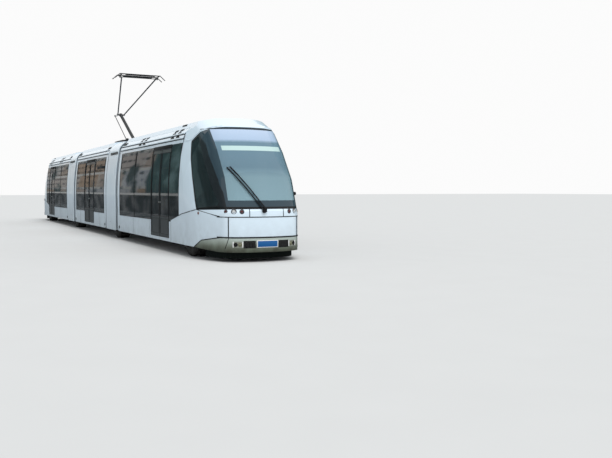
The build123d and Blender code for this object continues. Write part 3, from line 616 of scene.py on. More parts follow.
def finishes():
    """Every finish by the name of its slot or of its use."""
    chosen = bpy.context.scene.tram_colours
    body, trim, door = tuple(chosen.body), tuple(chosen.trim), tuple(chosen.door)
    pillar, plate = tuple(chosen.pillar), tuple(chosen.plate)
    black = (0.008, 0.008, 0.009)
    return {
        "shell": body_paint(body),
        "nose": nose_paint("nose_paint", body, LINING),
        "bumper_plastic": bumper_paint(),
        "white_body": surface("roof_paint", body, 0.28, **(PAINT | {"spread": 0.02, "dirt": 0, "coat": 0.3})),
        "module_frame": module_paint(body),
        "pillar_slate": pillar_paint(pillar, (0.012, 0.016, 0.019)),
        "screen_glass": screen_glass(pillar),
        "side_glass": surface("side_glass", (0.010, 0.014, 0.016), 0.03, spread=0.1, alpha=0.8, specular=1.0),
        "door_black": surface("door_paint", door, 0.34, grain=(0.0006, 260), spread=0.08, dirt=0.12, coat=0.1,
                              bump=0.08),
        "black_rubber": surface("black_rubber", trim, 0.62, grain=(0.002, 180), spread=0.2, bump=0.3,
                                specular=0.2),
        "deflector": surface("deflector_rubber", (0.006, 0.009, 0.008), 0.85, grain=(0.002, 120), spread=0.3,
                             bump=0.4, specular=0.1),
        "floor_grey": surface("floor_covering", (0.09, 0.095, 0.105), 0.75, grain=(0.001, 420), spread=0.15,
                              bump=0.3),
        "seat_plastic": surface("seat_moulding", (0.03, 0.07, 0.16), 0.4, grain=(0.0006, 500), spread=0.08),
        "cab_plastic": surface("cab_moulding", (0.05, 0.054, 0.058), 0.55, grain=(0.001, 600), spread=0.1,
                               bump=0.3),
        "upholstery": surface("seat_cloth", (0.05, 0.09, 0.2), 0.9, grain=(0.0015, 700), spread=0.2,
                              bump=0.5),
        "bellows_fabric": surface("bellows_fabric", black, 0.85, grain=(0.002, 350), spread=0.25, bump=0.4),
        "chassis_steel": surface("chassis_paint", (0.035, 0.034, 0.033), 0.55, grain=(0.002, 120), spread=0.3,
                                 dirt=0.7, bump=0.3),
        "tyre_rubber": surface("tyre_rubber", (0.006, 0.006, 0.007), 0.75, grain=(0.0015, 220), spread=0.3,
                               dirt=0.35, bump=0.35),
        "rim": surface("rim_paint", (0.33, 0.33, 0.32), 0.45, metallic=0.3, grain=(0.001, 120), spread=0.15,
                       dirt=0.6, bump=0.25),
        "pantograph_steel": surface("pantograph_paint", (0.010, 0.012, 0.014), 0.5, grain=(0.001, 200),
                                    spread=0.2, bump=0.2),
        "carbon": surface("carbon_strip", (0.006, 0.008, 0.009), 0.8, grain=(0.001, 300), specular=0.1,
                          bump=0.4),
        "insulator": surface("insulator_glaze", (0.16, 0.05, 0.03), 0.15, grain=(0.0005, 60), coat=0.8),
        "steel": surface("brushed_steel", (0.5, 0.5, 0.5), 0.3, metallic=1.0, grain=(0.0004, 400)),
        "rail": surface("grab_rail", (0.55, 0.42, 0.03), 0.35, grain=(0.0003, 400), coat=0.3),
        "wiper_black": surface("wiper_paint", black, 0.5, grain=(0.0005, 500), spread=0.1, specular=0.2),
        "vent_dark": surface("vent_mesh", black, 0.7, grain=(0.003, 150), bump=0.5),
        "plate": surface("plate_blue", plate, 0.35, grain=(0.0004, 300), spread=0.04),
        "plate_rim": surface("plate_rim", (0.75, 0.75, 0.75), 0.35, grain=(0.0004, 300)),
        "lamp_ring": surface("lamp_ring", (0.06, 0.06, 0.065), 0.4, spread=0.05),
        "reflector": surface("lamp_reflector", (0.75, 0.75, 0.74), 0.12, metallic=1.0, grain=(0.0004, 120)),
        "lamp_lens": surface("lamp_lens", (0.26, 0.27, 0.23), 0.08, spread=0.05, coat=0.6),
        "red_lens": surface("red_lens", (0.085, 0.004, 0.006), 0.08, spread=0.1, coat=0.8),
        "amber_lens": surface("amber_lens", (0.17, 0.025, 0.012), 0.1, spread=0.1, coat=0.8),
        "fog_lens": surface("fog_lens", (0.16, 0.16, 0.10), 0.12, spread=0.05, coat=0.6),
        "beige_lens": surface("beige_lens", (0.45, 0.40, 0.30), 0.12, spread=0.05, coat=0.6),
        "clear_lens": surface("clear_lens", (0.8, 0.82, 0.84), 0.05, spread=0.03, coat=1.0, alpha=0.35),
    }


def paint_node(name):
    """The finish for a solid that shows as it is."""
    if name.endswith("_shell"):
        return FINISH["shell"]
    if name.endswith(("_mask", "_skirt")):
        return FINISH["nose"]
    if name.endswith(("_deflector", "_module_frame")):
        return FINISH[name.split("_", 1)[1]]
    return FINISH[SLOT_OF_NODE[name]]


class TRAM_OT_paint(bpy.types.Operator):
    """Gives every solid of the frame its finish"""

    bl_idname = "tram.paint"
    bl_label = "Paint the frame"

    def execute(self, context):
        FINISH.update(finishes())
        for name, node in NODES.items():
            material = paint_node(name)
            if not node.data.materials:
                node.data.materials.append(material)
            for i in range(len(node.data.materials)):
                node.data.materials[i] = material
        fresh()
        return {"FINISHED"}


def outline(inset, low, steps=7):
    """The cars' cross-section from foot to foot, y and z."""
    half = [(CAR_HALF - inset, z) for z in (low, 0.75, WAIST)]
    for centre_y, centre_z, radius, start, end in ((SIDE_Y, WAIST, SIDE_R, 0, TURN),
                                                   (SHOULDER_Y, SHOULDER_Z, SHOULDER_R, TURN, pi / 2)):
        for i in range(1, steps + 1):
            a = start + (end - start) * i / steps
            half.append((centre_y + (radius - inset) * cos(a), centre_z + (radius - inset) * sin(a)))
    return half + [(-y, z) for y, z in reversed(half)]


def pleated(name, x0, x1):
    """Bellows: the arch's line extruded back and forth between its two depths."""
    gap, low = 0.004, BELLOWS_LOW
    drawn(name, [(x0, y, z) for y, z in outline(BELLOWS_INSET + gap, low)])
    bpy.ops.object.convert(target="MESH")
    piece = bpy.context.object
    edit(piece)
    bpy.ops.mesh.select_mode(type="EDGE")
    bpy.ops.mesh.select_all(action="SELECT")
    folds = 2 * sizes().pleats
    step = (x1 - x0) / folds
    k = (CAR_HALF - BELLOWS_DEPTH + gap) / (CAR_HALF - BELLOWS_INSET - gap)
    inward = (1, k, (1 + k) / 2)
    outward = tuple(1 / scale for scale in inward)
    for i in range(folds):
        bpy.ops.mesh.extrude_region_move(TRANSFORM_OT_translate={"value": (step, 0, 0)})
        centre = (x0 + (i + 1) * step, 0, low)
        bpy.ops.transform.resize(value=outward if i % 2 else inward, center_override=centre)
    bpy.ops.mesh.select_mode(type="VERT")
    only(piece)
    thick = piece.modifiers.new("cloth", "SOLIDIFY")
    thick.thickness = 0.003
    bpy.ops.object.modifier_apply(modifier=thick.name)
    return settle(piece, 20)


class TRAM_OT_bellows(bpy.types.Operator):
    """Makes the pleated bellows between the cars and the axle modules"""

    bl_idname = "tram.bellows"
    bl_label = "Bellows"

    def execute(self, context):
        for end, way in ENDS:
            module = f"{end}_module"
            for label, near, far, first, second in (
                    ("inner", MIDDLE_END, MODULE_FRAME[0], "middle_car", module),
                    ("outer", MODULE_FRAME[1], CAR_START, module, f"{end}_car")):
                low, high = sorted((way * near, way * far))
                piece = pleated(f"{end}_bellows_{label}_cloth", low + 0.002, high - 0.002)
                piece.data.materials.append(FINISH["bellows_fabric"])
                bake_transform(piece)
                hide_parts(f"{end}_bellows_{label}")
        return {"FINISHED"}


def spaced(points, steps):
    """Points given as pairs, with more between them: steps tells how many a stretch is cut into."""
    path = []
    for a, b in zip(points, points[1:]):
        count = steps(a, b)
        path += [tuple(p + (q - p) * i / count for p, q in zip(a, b)) for i in range(count)]
    return path + [points[-1]]


def side_bead(points, radius, out=0.0):
    """A bead on a car's side through points given as x and z."""
    path = spaced(points, lambda a, b: max(1, int(abs(b[1] - a[1]) / 0.12)))
    return tube("bead", [(x, side_y(z, out), z) for x, z in path], radius)


def frame_beads(x, z, radius):
    """A bead all round a rectangle on a car's side."""
    corners = ((x[0], z[0]), (x[0], z[1]), (x[1], z[1]), (x[1], z[0]), (x[0], z[0]))
    return side_bead(corners, radius)


def side_slab(x, z):
    """A thin panel on the cars' side, leaning with it, between two places along and two heights."""
    middle, half = (z[0] + z[1]) / 2, (z[1] - z[0]) / 2
    piece = block("slab", (x[0], -0.002, -half), (x[1], 0.002, half), 0.0015)
    return leaned(piece, asin(max(0, middle - WAIST) / SIDE_R), (0, side_y(middle, 0.001), middle))


class TRAM_OT_doors(bpy.types.Operator):
    """Makes seals, buttons and grab handles of the plug doors"""

    bl_idname = "tram.doors"
    bl_label = "Door fittings"

    def execute(self, context):
        bead = sizes().seal
        button = ((0.021, 0), (0.021, 0.008), (0.016, 0.012), (0.001, 0.013))
        for body, (x0, x1) in DOORS.items():
            middle = (x0 + x1) / 2
            meeting = ((middle, DOOR_Z[0] + 0.006), (middle, DOOR_Z[1] - 0.006))
            seals = [side_slab((x0 + 0.004, x1 - 0.004), DOOR_HEADER_Z), side_bead(meeting, bead, -0.003),
                     frame_beads((x0 + 0.002, x1 - 0.002), DOOR_Z, bead * 0.8)]
            rails, buttons = [], []
            near, far = side_y(1.3) - 0.10, side_y(1.3) - 0.045
            for a, b, way in ((x0, middle, -1), (middle, x1, 1)):
                low, high = a + DOOR_STILE, b - DOOR_STILE
                seals.append(frame_beads((low, high), DOOR_GLASS_Z, bead * 0.6))
                seals.append(frame_beads((low + 0.02, high - 0.02), DOOR_PANEL_Z, bead * 0.45))
                x = middle + way * 0.09
                for side in (1, -1):
                    path = ((far, 0.93), (near, 0.98), (near, 1.75), (far, 1.8))
                    rails.append(tube("rail", [(x, side * y, z) for y, z in path], 0.014, 3, 3))
                where = (middle + way * 0.045, side_y(BUTTON_Z, -0.004), BUTTON_Z)
                buttons.append(turned("button", button, where, (0, 1, 0), 16))
            fit("door_seals", with_twins(seals), "black_rubber", body=body)
            fit("door_rails", rails, "door_black", "rail", body)
            fit("door_buttons", with_twins(buttons), "lamp_lens", "steel", body)
        return {"FINISHED"}


class TRAM_OT_windows(bpy.types.Operator):
    """Makes gaskets, dividing strips and hopper frames of the side windows, and the seams of the skirt"""

    bl_idname = "tram.windows"
    bl_label = "Window trims"

    def execute(self, context):
        low, high = WINDOW_Z
        for body, spans in WINDOWS.items():
            trims = [side_bead([(x, z) for z in SKIRT_SEAM_Z], 0.004, -0.001) for x in SKIRT_SEAMS[body]]
            for x0, x1 in spans:
                if x1 == MASK_START:
                    corners = ((x0, 0.72), (x0, high), (x1, high), (x1, 0.86), (x0, 0.72))
                    trims.append(side_bead(corners, 0.006))
                    continue
                trims.append(frame_beads((x0, x1), WINDOW_Z, 0.007))
                bays = max(1, round((x1 - x0) / BAY_LENGTH))
                step = (x1 - x0 - 2 * WINDOW_EDGE) / bays
                for i in range(bays):
                    a = x0 + WINDOW_EDGE + i * step
                    if i:
                        trims.append(side_bead(((a, low), (a, high)), 0.009, -0.003))
                    trims.append(frame_beads((a + 0.06, a + step - 0.04), FLAP_Z, 0.006))
            trims = with_twins(trims)
            if body == "middle_car":
                slab = side_slab(*HOPPER)
                trims.append(mirrored(slab, "hopper_gap", OTHER_SIDE))
                bpy.data.objects.remove(slab)
            fit("window_trims", trims, "black_rubber", body=body)
        return {"FINISHED"}


def roof_lines(x, angles, radius, out):
    """Beads along the roof shoulder on both sides."""
    places = [shoulder(angle, out) for angle in angles]
    return with_twins([tube("line", ((x[0], y, z), (x[1], y, z)), radius, 3) for y, z in places])


def end_slot(x):
    """A flat dark slot lying on the roof shoulder near a car's end."""
    half = Vector((0.18, 0.006, 0.045))
    return leaned(block("slot", -half, half, 0.0036), radians(END_SLOT), (x, *shoulder(END_SLOT, 0.002)))


def cover_slot(x0, x1):
    """A dark slot on the steep side of the roof cover."""
    piece = block("slot", (x0, -0.006, -0.022), (x1, 0.006, 0.022), 0.004)
    return leaned(piece, radians(COVER_LEAN), (0, *COVER_SLOT_AT))


def oval_vent(x, angle):
    """A dark oval grille on the roof shoulder."""
    rings = ((0.042, -0.003), (0.042, 0.003), (0.038, 0.006), (0.033, 0.002), (0.022, 0.0025), (0.001, 0.003))
    piece = turned("vent", rings, (0, 0, 0), (0, 0, 1), 28)
    piece.scale = (3.1, 1, 1)
    return leaned(piece, radians(angle - 90), (x, *shoulder(angle, 0.0005)))


class TRAM_OT_roof(bpy.types.Operator):
    """Makes the roof's rails, its dark lines of painted shade under them, end slots, hatches, vents and the
    axle modules' louvres
    """

    bl_idname = "tram.roof"
    bl_label = "Roof details"

    def execute(self, context):
        for body, x in ROOF_RUNS.items():
            rails = roof_lines(x, ROOF_RAILS, 0.020, -0.004)
            # Black beads under the rails: painted shade for the shadow gaps there
            lines = roof_lines(x, ROOF_SHADE_LINES, 0.012, -0.001)
            slots = [end_slot(x[0] + 0.22)]
            slots.append(end_slot(x[1] - 0.22) if body == "middle_car" else cover_slot(*COVER_SLOT))
            count, limit = HATCHES[body]
            step = (x[1] - x[0] - 0.5) / count
            hatches = []
            for i in range(count):
                a = x[0] + 0.25 + i * step
                b = min(a + step - 0.12, limit)
                hatches.append(block("hatch", (a, -0.40, HATCH_Z[0]), (b, 0.40, HATCH_Z[1]), 0.004))
            fit("roof_rails", rails, "white_body", body=body)
            fit("roof_lines", lines, "black_rubber", body=body)
            fit("roof_slots", with_twins(slots), "black_rubber", "vent_dark", body)
            fit("roof_hatches", hatches, "white_body", body=body)
        vents = [oval_vent(x, angle) for x in VENTS_X for angle in VENTS_UP]
        fit("roof_vents", with_twins(vents), "black_rubber", "vent_dark")
        louvres = [tube("louvre", [(x, side_y(z, MODULE_OUT + 0.001), z) for x in LOUVRE_X], 0.0075)
                   for z in LOUVRES]
        fit("module_louvres", with_twins(louvres), "black_rubber", "vent_dark", "front_module")
        return {"FINISHED"}


def nose_bead(view, points, radius, out):
    """A line on the nose through points, lifted out of it; one that doesn't cross the middle has a twin."""
    path = []
    for a, z in spaced(points, lambda a, b: max(2, int(hypot(b[0] - a[0], b[1] - a[1]) / 0.05))):
        point, normal = beside(a, z, -1, *NOSE, "front_shell") if view == "side" else ahead(a, z, *NOSE)
        path.append(tuple(point + normal * out))
    beads = [tube("bead", path, radius)]
    return with_twins(beads) if points[0][0] > 0 else beads


class TRAM_OT_nose(bpy.types.Operator):
    """Makes the nose's dark seams, lip, camera, lamp rings and lenses, fog lamps, blank plate and grilles"""

    bl_idname = "tram.nose"
    bl_label = "Nose details"

    def lamps(self):
        """Rings, lenses and bulbs of the upper lamps, and the amber marker behind them."""
        rings, bulbs, lenses = [], [], {"red": [], "clear": [], "beige": []}
        for y, r, share, near, far in LAMPS:
            point, normal = ahead(-y, LAMP_Z, "front_lamps")
            glass = r * share
            ring = ((r + 0.002, -0.002), (r + 0.013, 0.0), (r + 0.013, 0.006), (glass + 0.006, 0.011),
                    (glass, 0.004))
            rings.append(turned("bezel", ring, point - normal * 0.005, normal))
            dome = ((glass, 0), (glass * 0.97, 0.006), (glass * 0.73, 0.012), (glass * 0.36, 0.015),
                    (0.001, 0.016))
            lens = turned("lens", dome, point, normal)
            lenses[far].append(mirrored(lens, "lens_twin", OTHER_SIDE))
            lenses[near].append(lens)
            if near == "clear":
                bowl = ((r * 0.5, 0.001), (r * 0.5, 0.004), (r * 0.32, 0.006), (0.001, 0.009))
                bulbs.append(turned("bulb", bowl, point, normal, 24))
        fit("lamp_bezels", with_twins(rings), "black_rubber", "lamp_ring")
        fit("red_lenses", lenses["red"], "lamp_lens", "red_lens")
        fit("head_lenses", lenses["clear"], "lamp_lens", "clear_lens")
        fit("side_lenses", lenses["beige"], "lamp_lens", "beige_lens")
        fit("lamp_bulbs", with_twins(bulbs), "lamp_lens", "reflector")
        marker = ((0.030, 0), (0.030, 0.005), (0.020, 0.012), (0.001, 0.014))
        markers = [turned("marker", marker, *beside(*SIDE_MARKER, -1, "front_lamps"), 24)]
        fit("side_markers", with_twins(markers), "lamp_lens", "amber_lens")

    def plate(self):
        """The blank plate and its rim."""
        w, h = sizes().plate
        edge = 0.012
        x = ahead(0, PLATE_Z, *NOSE)[0].x + 0.004
        rim_low, rim_high = (x - 0.02, -w / 2, PLATE_Z - h / 2), (x, w / 2, PLATE_Z + h / 2)
        fit("plate_rim", [block("rim", rim_low, rim_high, 0.003)], "bumper_plastic", "plate_rim")
        face_low = (x - 0.01, edge - w / 2, PLATE_Z + edge - h / 2)
        face_high = (x + 0.002, w / 2 - edge, PLATE_Z - edge + h / 2)
        fit("plate", [block("face", face_low, face_high, 0.0015)], "bumper_plastic", "plate")

    def grilles(self):
        """Fog lamps with their bars, and the slatted grilles."""
        rings = ((0.040, -0.003), (0.040, 0.007), (0.034, 0.011), (0.030, 0.004), (0.018, 0.009),
                 (0.001, 0.011))
        covers, lights = ([turned("fog", rings, *ahead(-y, FOG_Z, "front_lamps"), 24)]
                          for y in (FOG_COVER, FOG_LIGHT))
        bars, backs = [], []
        for y in FOG_BARS:
            x = ahead(-y, FOG_Z, "front_bumper", "front_lamps")[0].x
            bars.append(block("bar", (x - 0.012, -y - 0.010, 0.297), (x + 0.004, -y + 0.010, 0.408), 0.003))
        for y in GRILLES:
            x, left, right = ahead(-y - 0.026, 0.272, "front_bumper")[0].x - 0.001, -y, -y - GRILLE_WIDTH
            backs.append(block("mesh", (x - 0.012, right, 0.283), (x + 0.003, left, 0.422), 0.0015))
            for z in SLATS:
                backs.append(block("slat", (x, right - 0.001, z), (x + 0.008, left + 0.001, z + 0.008)))
        fit("fog_lenses", with_twins(lights), "lamp_lens", "fog_lens")
        fit("fog_covers", with_twins(covers), "lamp_lens", "black_rubber")
        fit("fog_bars", with_twins(bars), "bumper_plastic", "plate_rim")
        fit("grilles", with_twins(backs), "bumper_plastic", "vent_dark")

    def execute(self, context):
        fit("nose_seams", [bead for seam in NOSE_SEAMS for bead in nose_bead(*seam)], "black_rubber")
        fit("lip", nose_bead("side", LIP, 0.013, 0.001), "white_body")
        eye = ((0.034, -0.004), (0.034, 0.020), (0.026, 0.034), (0.012, 0.040), (0.001, 0.040))
        fit("camera", [turned("eye", eye, *beside(*CAMERA_EYE, 1, *NOSE), 24)], "black_rubber")
        self.lamps()
        self.plate()
        self.grilles()
        return {"FINISHED"}


class TRAM_OT_cab(bpy.types.Operator):
    """Makes the destination box and the desk's binnacle"""

    bl_idname = "tram.cab"
    bl_label = "Cab fittings"

    def execute(self, context):
        box = block("box", (10.95, -0.55, 2.36), (11.15, 0.55, 2.6), 0.02, 3)
        fit("display_box", [box], "cab_plastic")
        binnacle = block("binnacle", (11.36, -0.45, 1.03), (11.74, 0.45, 1.14), 0.03, 4)
        fit("desk_binnacle", [binnacle], "cab_plastic")
        return {"FINISHED"}


def seat_pad(low, high, lean):
    """A crowned foam pad: a block with pinched corners, swollen middle and a sewn channel, leaned about Y."""
    low, high = Vector(low), Vector(high)
    piece = cube("pad", high - low, (0, 0, 0))
    edit(piece)
    bpy.ops.mesh.subdivide(number_cuts=5)
    only(piece)
    half = (high - low) / 2
    for vertex in piece.data.vertices:
        u, v, w = (c / h for c, h in zip(vertex.co, half))
        crown = (1 - u * u) * (1 - v * v)
        channel = 0.45 if abs(abs(u) - 0.333) < 0.1 else 1.0
        vertex.co.z *= 0.45 + 0.55 * sqrt(max(0, crown)) * channel
        vertex.co.x *= 1 - 0.05 * (1 - v * v) * abs(w)
        vertex.co.y *= 1 - 0.05 * (1 - u * u) * abs(w)
    smooth = piece.modifiers.new("foam", "SUBSURF")
    smooth.levels = smooth.render_levels = 1
    bpy.ops.object.modifier_apply(modifier=smooth.name)
    return settle(leaned(piece, lean, (low + high) / 2, 1), 60)


class TRAM_OT_seats(bpy.types.Operator):
    """Makes the padded inserts of the passengers' seats"""

    bl_idname = "tram.seats"
    bl_label = "Seat pads"

    def execute(self, context):
        for body, places in SEATS.items():
            pads = []
            for x, way in places:
                squab = seat_pad((x + 0.10, 0.57, 0.502), (x + 0.40, 0.95, 0.552), -radians(4.3))
                back = seat_pad((x - 0.191, 0.57, 0.937), (x + 0.259, 0.95, 0.975), radians(81.5))
                pair = joined("pair", [squab, back])
                if way < 0:
                    for vertex in pair.data.vertices:
                        vertex.co.x = 2 * x - vertex.co.x
                    flipped(pair)
                pads.append(pair)
            for piece in fit("seat_pads", with_twins(pads), "seat_plastic", "upholstery", body):
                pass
        return {"FINISHED"}


class TRAM_OT_cabin(bpy.types.Operator):
    """Makes the cabin's poles, overhead rails and lamps"""

    bl_idname = "tram.cabin"
    bl_label = "Cabin fittings"

    def execute(self, context):
        for body, (xs, (x0, x1)) in POLES.items():
            y = POLE_Y
            poles = with_twins([tube("pole", [(x, y, z) for z in POLE_Z], 0.017, 3) for x in xs])
            poles += [tube("rail", ((x0, at, RAIL_Z), (x1, at, RAIL_Z)), 0.015, 3) for at in (y, -y)]
            light = block("light", (x0, y - 0.06, LIGHT_Z[0]), (x1, y + 0.06, LIGHT_Z[1]), 0.004)
            fit("cabin_poles", poles, "seat_plastic", "rail", body)
            fit("cabin_lights", with_twins([light]), "lamp_lens", body=body)
        return {"FINISHED"}


def spun(piece, count, centre):
    """The piece repeated round a wheel's axis by a spin with copies."""
    edit(piece)
    bpy.ops.mesh.spin(steps=count - 1, dupli=True, angle=2 * pi * (count - 1) / count, center=centre,
                      axis=(0, 1, 0))
    fresh()
    return piece


def tyre(name, x, side):
    """A tyre with grooves round its tread, lugs on its shoulders and raised rings on its wall."""
    r, width, y = TYRE
    half, margin = width / 2, 0.042
    wall = [(radius, h - half) for radius, h in (
        (0.290, 0.045), (0.300, 0.020), (0.355, 0.004), (0.360, 0), (0.368, 0), (0.373, 0.004),
        (0.450, 0.006), (0.500, 0.018), (0.520, 0.034), (r - 0.003, margin))]
    count = sizes().grooves
    land = (width - 2 * margin) / (count + 1)
    tread = []
    for i in range(count + 1):
        a = margin - half + i * land
        tread += [(r, a + 0.003), (r, a + land - 0.010)]
        if i < count:
            tread += [(r - 0.014, a + land - 0.008), (r - 0.014, a + land - 0.002)]
    rings = wall + tread + [(radius, -h) for radius, h in reversed(wall)]
    pieces = [turned(name, rings, (x, side * y, r), (0, 1, 0), 72, 35)]
    for s in (1, -1):
        middle = Vector((x, side * y + s * (half - 0.030), 2 * r - 0.018))
        size = Vector((0.011, 0.012, 0.008))
        lug = block("lug", middle - size, middle + size, 0.002, 1)
        pieces.append(spun(lug, sizes().lugs, (x, side * y, r)))
    return joined(name, pieces)


def rim(name, x, side):
    """Rim, web, hub, wheel bolts and a ring of bosses on the outside."""
    r, width, y = TYRE
    face = side * (y + width / 2)
    rings = ((0.286, -0.30), (0.292, -0.02), (0.300, -0.012), (0.300, -0.006), (0.288, -0.008),
             (0.262, -0.040), (0.250, -0.052), (0.150, -0.040), (0.140, -0.020), (0.110, -0.012),
             (0.105, -0.002), (0.060, 0.0), (0.001, 0.0))
    bolt = ((0.016, -0.05), (0.016, -0.020), (0.012, -0.016), (0.001, -0.015))
    boss = ((0.028, -0.05), (0.028, -0.043), (0.020, -0.041), (0.001, -0.041))
    pieces = [turned("disc", rings, (x, face, r), (0, side, 0), 48)]
    for shape, out, sides, count in ((bolt, 0.195, 6, 10), (boss, 0.232, 12, 8)):
        one = turned("one", shape, (x, face, r + out), (0, side, 0), sides)
        pieces.append(spun(one, count, (x, face, r)))
    return joined(name, pieces)


def corner_markers(*places):
    """Small round marker lamps on both sides, low at a car's corners."""
    rings = ((0.045, -0.002), (0.045, 0.006), (0.0315, 0.012), (0.001, 0.014))
    y, z = side_y(MARKER_Z), MARKER_Z
    return with_twins([turned("marker", rings, (x, y, z), (0, 1, 0), 20) for x in places])


class TRAM_OT_markers(bpy.types.Operator):
    """Makes the marker lamps at the lower corners of the cars"""

    bl_idname = "tram.markers"
    bl_label = "Marker lamps"

    def execute(self, context):
        fit("markers", corner_markers(*MIDDLE_MARKERS), "lamp_lens", "black_rubber", "middle_car")
        fit("corner_markers", corner_markers(FRONT_MARKER), "lamp_lens", "black_rubber")
        return {"FINISHED"}


class TRAM_OT_wheels(bpy.types.Operator):
    """Makes the tyres, rims, hubs and bolts"""

    bl_idname = "tram.wheels"
    bl_label = "Wheels"

    def execute(self, context):
        for kind, x in AXLES.items():
            for label, side in SIDES:
                node = f"front_{kind}_wheel_{label}"
                rubber, metal = tyre(f"{node}_tyre", x, side), rim(f"{node}_rim", x, side)
                for piece in both_ends(rubber, node, "tyre_rubber"):
                    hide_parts(piece.name.removesuffix("_tyre"))
                both_ends(metal, node, "tyre_rubber", "rim")
        return {"FINISHED"}


class TRAM_OT_pantograph(bpy.types.Operator):
    """Makes the pantograph's insulators, contact strips and knee nuts"""

    bl_idname = "tram.pantograph"
    bl_label = "Pantograph details"

    def execute(self, context):
        rings = [(0.048, 0)]
        for z in (0.004, 0.019):
            rings += [(0.062, z), (0.062, z + 0.004), (0.048, z + 0.009)]
        xs, ys = INSULATORS
        sheds = [turned("shed", rings, (x, y, 2.891), (0, 0, 1), 24) for x in xs for y in ys]
        place(joined("pantograph_insulators", sheds), "middle_car", "pantograph_steel", "insulator")
        hx, hz = PAN_HEAD
        carbons = [block("carbon", (x - 0.017, -0.45, hz + 0.040), (x + 0.017, 0.45, hz + 0.0845), 0.002)
                   for x in (hx - CARBON_OUT, hx + CARBON_OUT)]
        place(joined("pantograph_carbons", carbons), "pantograph_head", "pantograph_steel", "carbon")
        kx, kz = PAN_KNEE
        nut = ((0.034, -0.008), (0.034, 0.008), (0.02, 0.012), (0.001, 0.012))
        nuts = [turned("nut", nut, (kx, way * NUT_OUT, kz), (0, way, 0), 6) for way in (-1, 1)]
        place(joined("pantograph_knee_nuts", nuts), "pantograph_upper_arm", "pantograph_steel", "steel")
        return {"FINISHED"}


def stage_finish():
    """Brown, beige, grey and green patches over a darker foot with a pale line, for the stage's screens."""
    material = surface("stage_screen", (0.1, 0.1, 0.1), 1.0, specular=0)
    tree = material.node_tree
    x, _, z = split_place(tree)
    flat = add(tree, "ShaderNodeCombineXYZ", {"X": x, "Y": z}).outputs["Vector"]
    bricks = {"Vector": flat, "Mortar Smooth": 0.3, "Bias": 0.0}
    large, small = (add(tree, "ShaderNodeTexBrick", bricks | look).outputs["Color"] for look in PATCHES)
    patch = noise(tree, 0.3, 3)
    pierced = ramp(tree, patch, ((0.0, 0.0), (0.50, 0.0), (0.56, 1.0), (1.0, 1.0)))
    shade = ramp(tree, patch, ((0.0, 1.0), (0.40, 1.0), (0.46, 0.0), (1.0, 0.0)))
    blocks = mixed(tree, shade, mixed(tree, pierced, large, small, "MULTIPLY"), (0.12, 0.17, 0.17))
    green = ramp(tree, patch, ((0.0, (0.07, 0.13, 0.13)), (0.50, (0.12, 0.22, 0.22)),
                               (0.58, (0.34, 0.54, 0.54)), (1.0, (0.45, 0.66, 0.66))))
    high = mixed(tree, calc(tree, "GREATER_THAN", x, GREEN_FROM), blocks, green)
    foot = ramp(tree, noise(tree, 0.9, 2), ((0.0, (0.05, 0.06, 0.065)), (0.45, (0.09, 0.105, 0.11)),
                                            (0.62, (0.30, 0.31, 0.32)), (1.0, (0.40, 0.40, 0.40))))
    line = ramp(tree, z, ((0.0, 0.0), (1.25, 0.0), (1.27, 1.0), (1.45, 1.0), (1.47, 0.0), (10.0, 0.0)))
    low = mixed(tree, line, foot, (0.9, 0.9, 0.88))
    height = ramp(tree, z, ((0.0, 0.0), (1.46, 0.0), (1.5, 0.55), (2.6, 0.85), (10.0, 1.0)))
    feed(tree, tree.nodes["Principled BSDF"], {"Base Color": mixed(tree, height, low, high)})
    return material


def studio():
    """A world that camera, gloss and glass see as white, and that lights the rest cooler and weaker."""
    world = bpy.data.worlds.new("studio")
    world.use_nodes = True
    tree = world.node_tree
    tree.nodes.clear()
    light, seen = (add(tree, "ShaderNodeBackground", look).outputs["Background"] for look in (SKY, BACKDROP))
    rays = add(tree, "ShaderNodeLightPath").outputs
    direct = calc(tree, "MAXIMUM", *(rays[f"Is {kind} Ray"] for kind in ("Camera", "Glossy", "Transmission")))
    mix = add(tree, "ShaderNodeMixShader", {"Fac": direct, 1: light, 2: seen})
    add(tree, "ShaderNodeOutputWorld", {"Surface": mix.outputs["Shader"]})
    return world


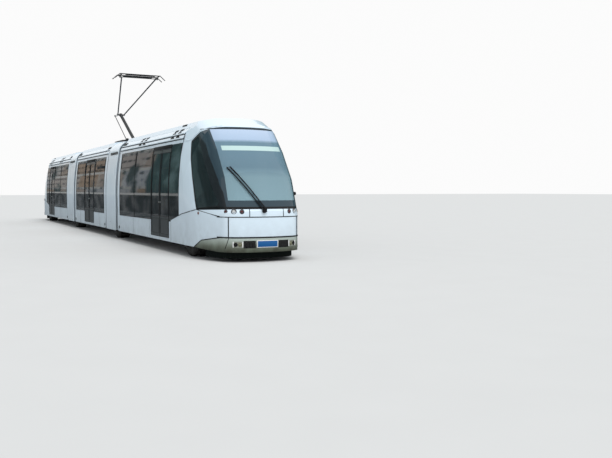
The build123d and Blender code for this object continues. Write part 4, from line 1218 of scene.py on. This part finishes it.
class TRAM_OT_stage(bpy.types.Operator):
    """Makes the floor, the light and the camera"""

    bl_idname = "tram.stage"
    bl_label = "Stage"

    def execute(self, context):
        scene = context.scene
        fresh()
        bpy.ops.mesh.primitive_plane_add(size=FLOOR_SIZE, location=(0, 0, 0))
        floor = just_made("stage_floor")
        floor.data.materials.append(surface("stage_floor", (0.62, 0.62, 0.61), 0.9, spread=0.02, specular=0))
        gloss = stage_finish()
        for label, side in SIDES:
            for name, (x, y, z), (length, height), turn in SCREENS:
                fresh()
                bpy.ops.mesh.primitive_plane_add(size=1, location=(x, side * y, z), rotation=(turn, 0, 0))
                bpy.context.object.scale = (length, height, 1)
                screen = just_made(f"stage_{name}_{label}")
                screen.data.materials.append(gloss)
                for ray in ("camera", "diffuse", "shadow", "transmission"):
                    setattr(screen, f"visible_{ray}", False)
        scene.world = studio()
        fresh()
        bpy.ops.object.light_add(type="SUN", location=(20, -10, 20))
        sun = bpy.context.object
        sun.visible_glossy = False
        sun.data.energy = SUN_STRENGTH
        sun.data.angle = radians(SUN_SPREAD)
        sun.rotation_mode = "QUATERNION"
        sun.rotation_quaternion = Vector(SUN_FROM).to_track_quat("Z", "Y")
        fresh()
        bpy.ops.object.camera_add(location=CAMERA_PLACE)
        camera = bpy.context.object
        yaw, pitch = radians(CAMERA_YAW), radians(CAMERA_PITCH)
        look = Vector((cos(yaw) * cos(pitch), sin(yaw) * cos(pitch), sin(pitch)))
        camera.rotation_mode = "QUATERNION"
        camera.rotation_quaternion = look.to_track_quat("-Z", "Y")
        camera.data.lens = LENS
        camera.data.sensor_width = SENSOR
        camera.data.clip_end = FAR_CLIP
        scene.camera = camera
        scene.view_settings.view_transform = "Standard"
        return {"FINISHED"}


OPERATORS = (TRAM_OT_paint, TRAM_OT_bellows, TRAM_OT_doors, TRAM_OT_windows, TRAM_OT_roof, TRAM_OT_nose,
             TRAM_OT_cab, TRAM_OT_seats, TRAM_OT_cabin, TRAM_OT_markers, TRAM_OT_wheels, TRAM_OT_pantograph,
             TRAM_OT_stage)


class TRAM_PT_sidebar(bpy.types.Panel):
    """Lists the tram's sizes, colours and makers in the sidebar"""

    bl_label = "Tram"
    bl_idname = "TRAM_PT_sidebar"
    bl_space_type = "VIEW_3D"
    bl_region_type = "UI"
    bl_category = "Tram"

    def draw(self, context):
        for group in (context.scene.tram_sizes, context.scene.tram_colours):
            for name in group.__annotations__:
                self.layout.prop(group, name)
        for operator in OPERATORS:
            self.layout.operator(operator.bl_idname)


CLASSES = (TramSizes, TramColours) + OPERATORS + (TRAM_PT_sidebar,)


def register():
    for made in CLASSES:
        bpy.utils.register_class(made)
    bpy.types.Scene.tram_sizes = PointerProperty(type=TramSizes)
    bpy.types.Scene.tram_colours = PointerProperty(type=TramColours)


def unregister():
    del bpy.types.Scene.tram_sizes
    del bpy.types.Scene.tram_colours
    for made in reversed(CLASSES):
        bpy.utils.unregister_class(made)


def main():
    register()
    for operator in OPERATORS:
        group, name = operator.bl_idname.split(".")
        getattr(getattr(bpy.ops, group), name)()
    fresh()


if __name__ == "__main__":
    main()
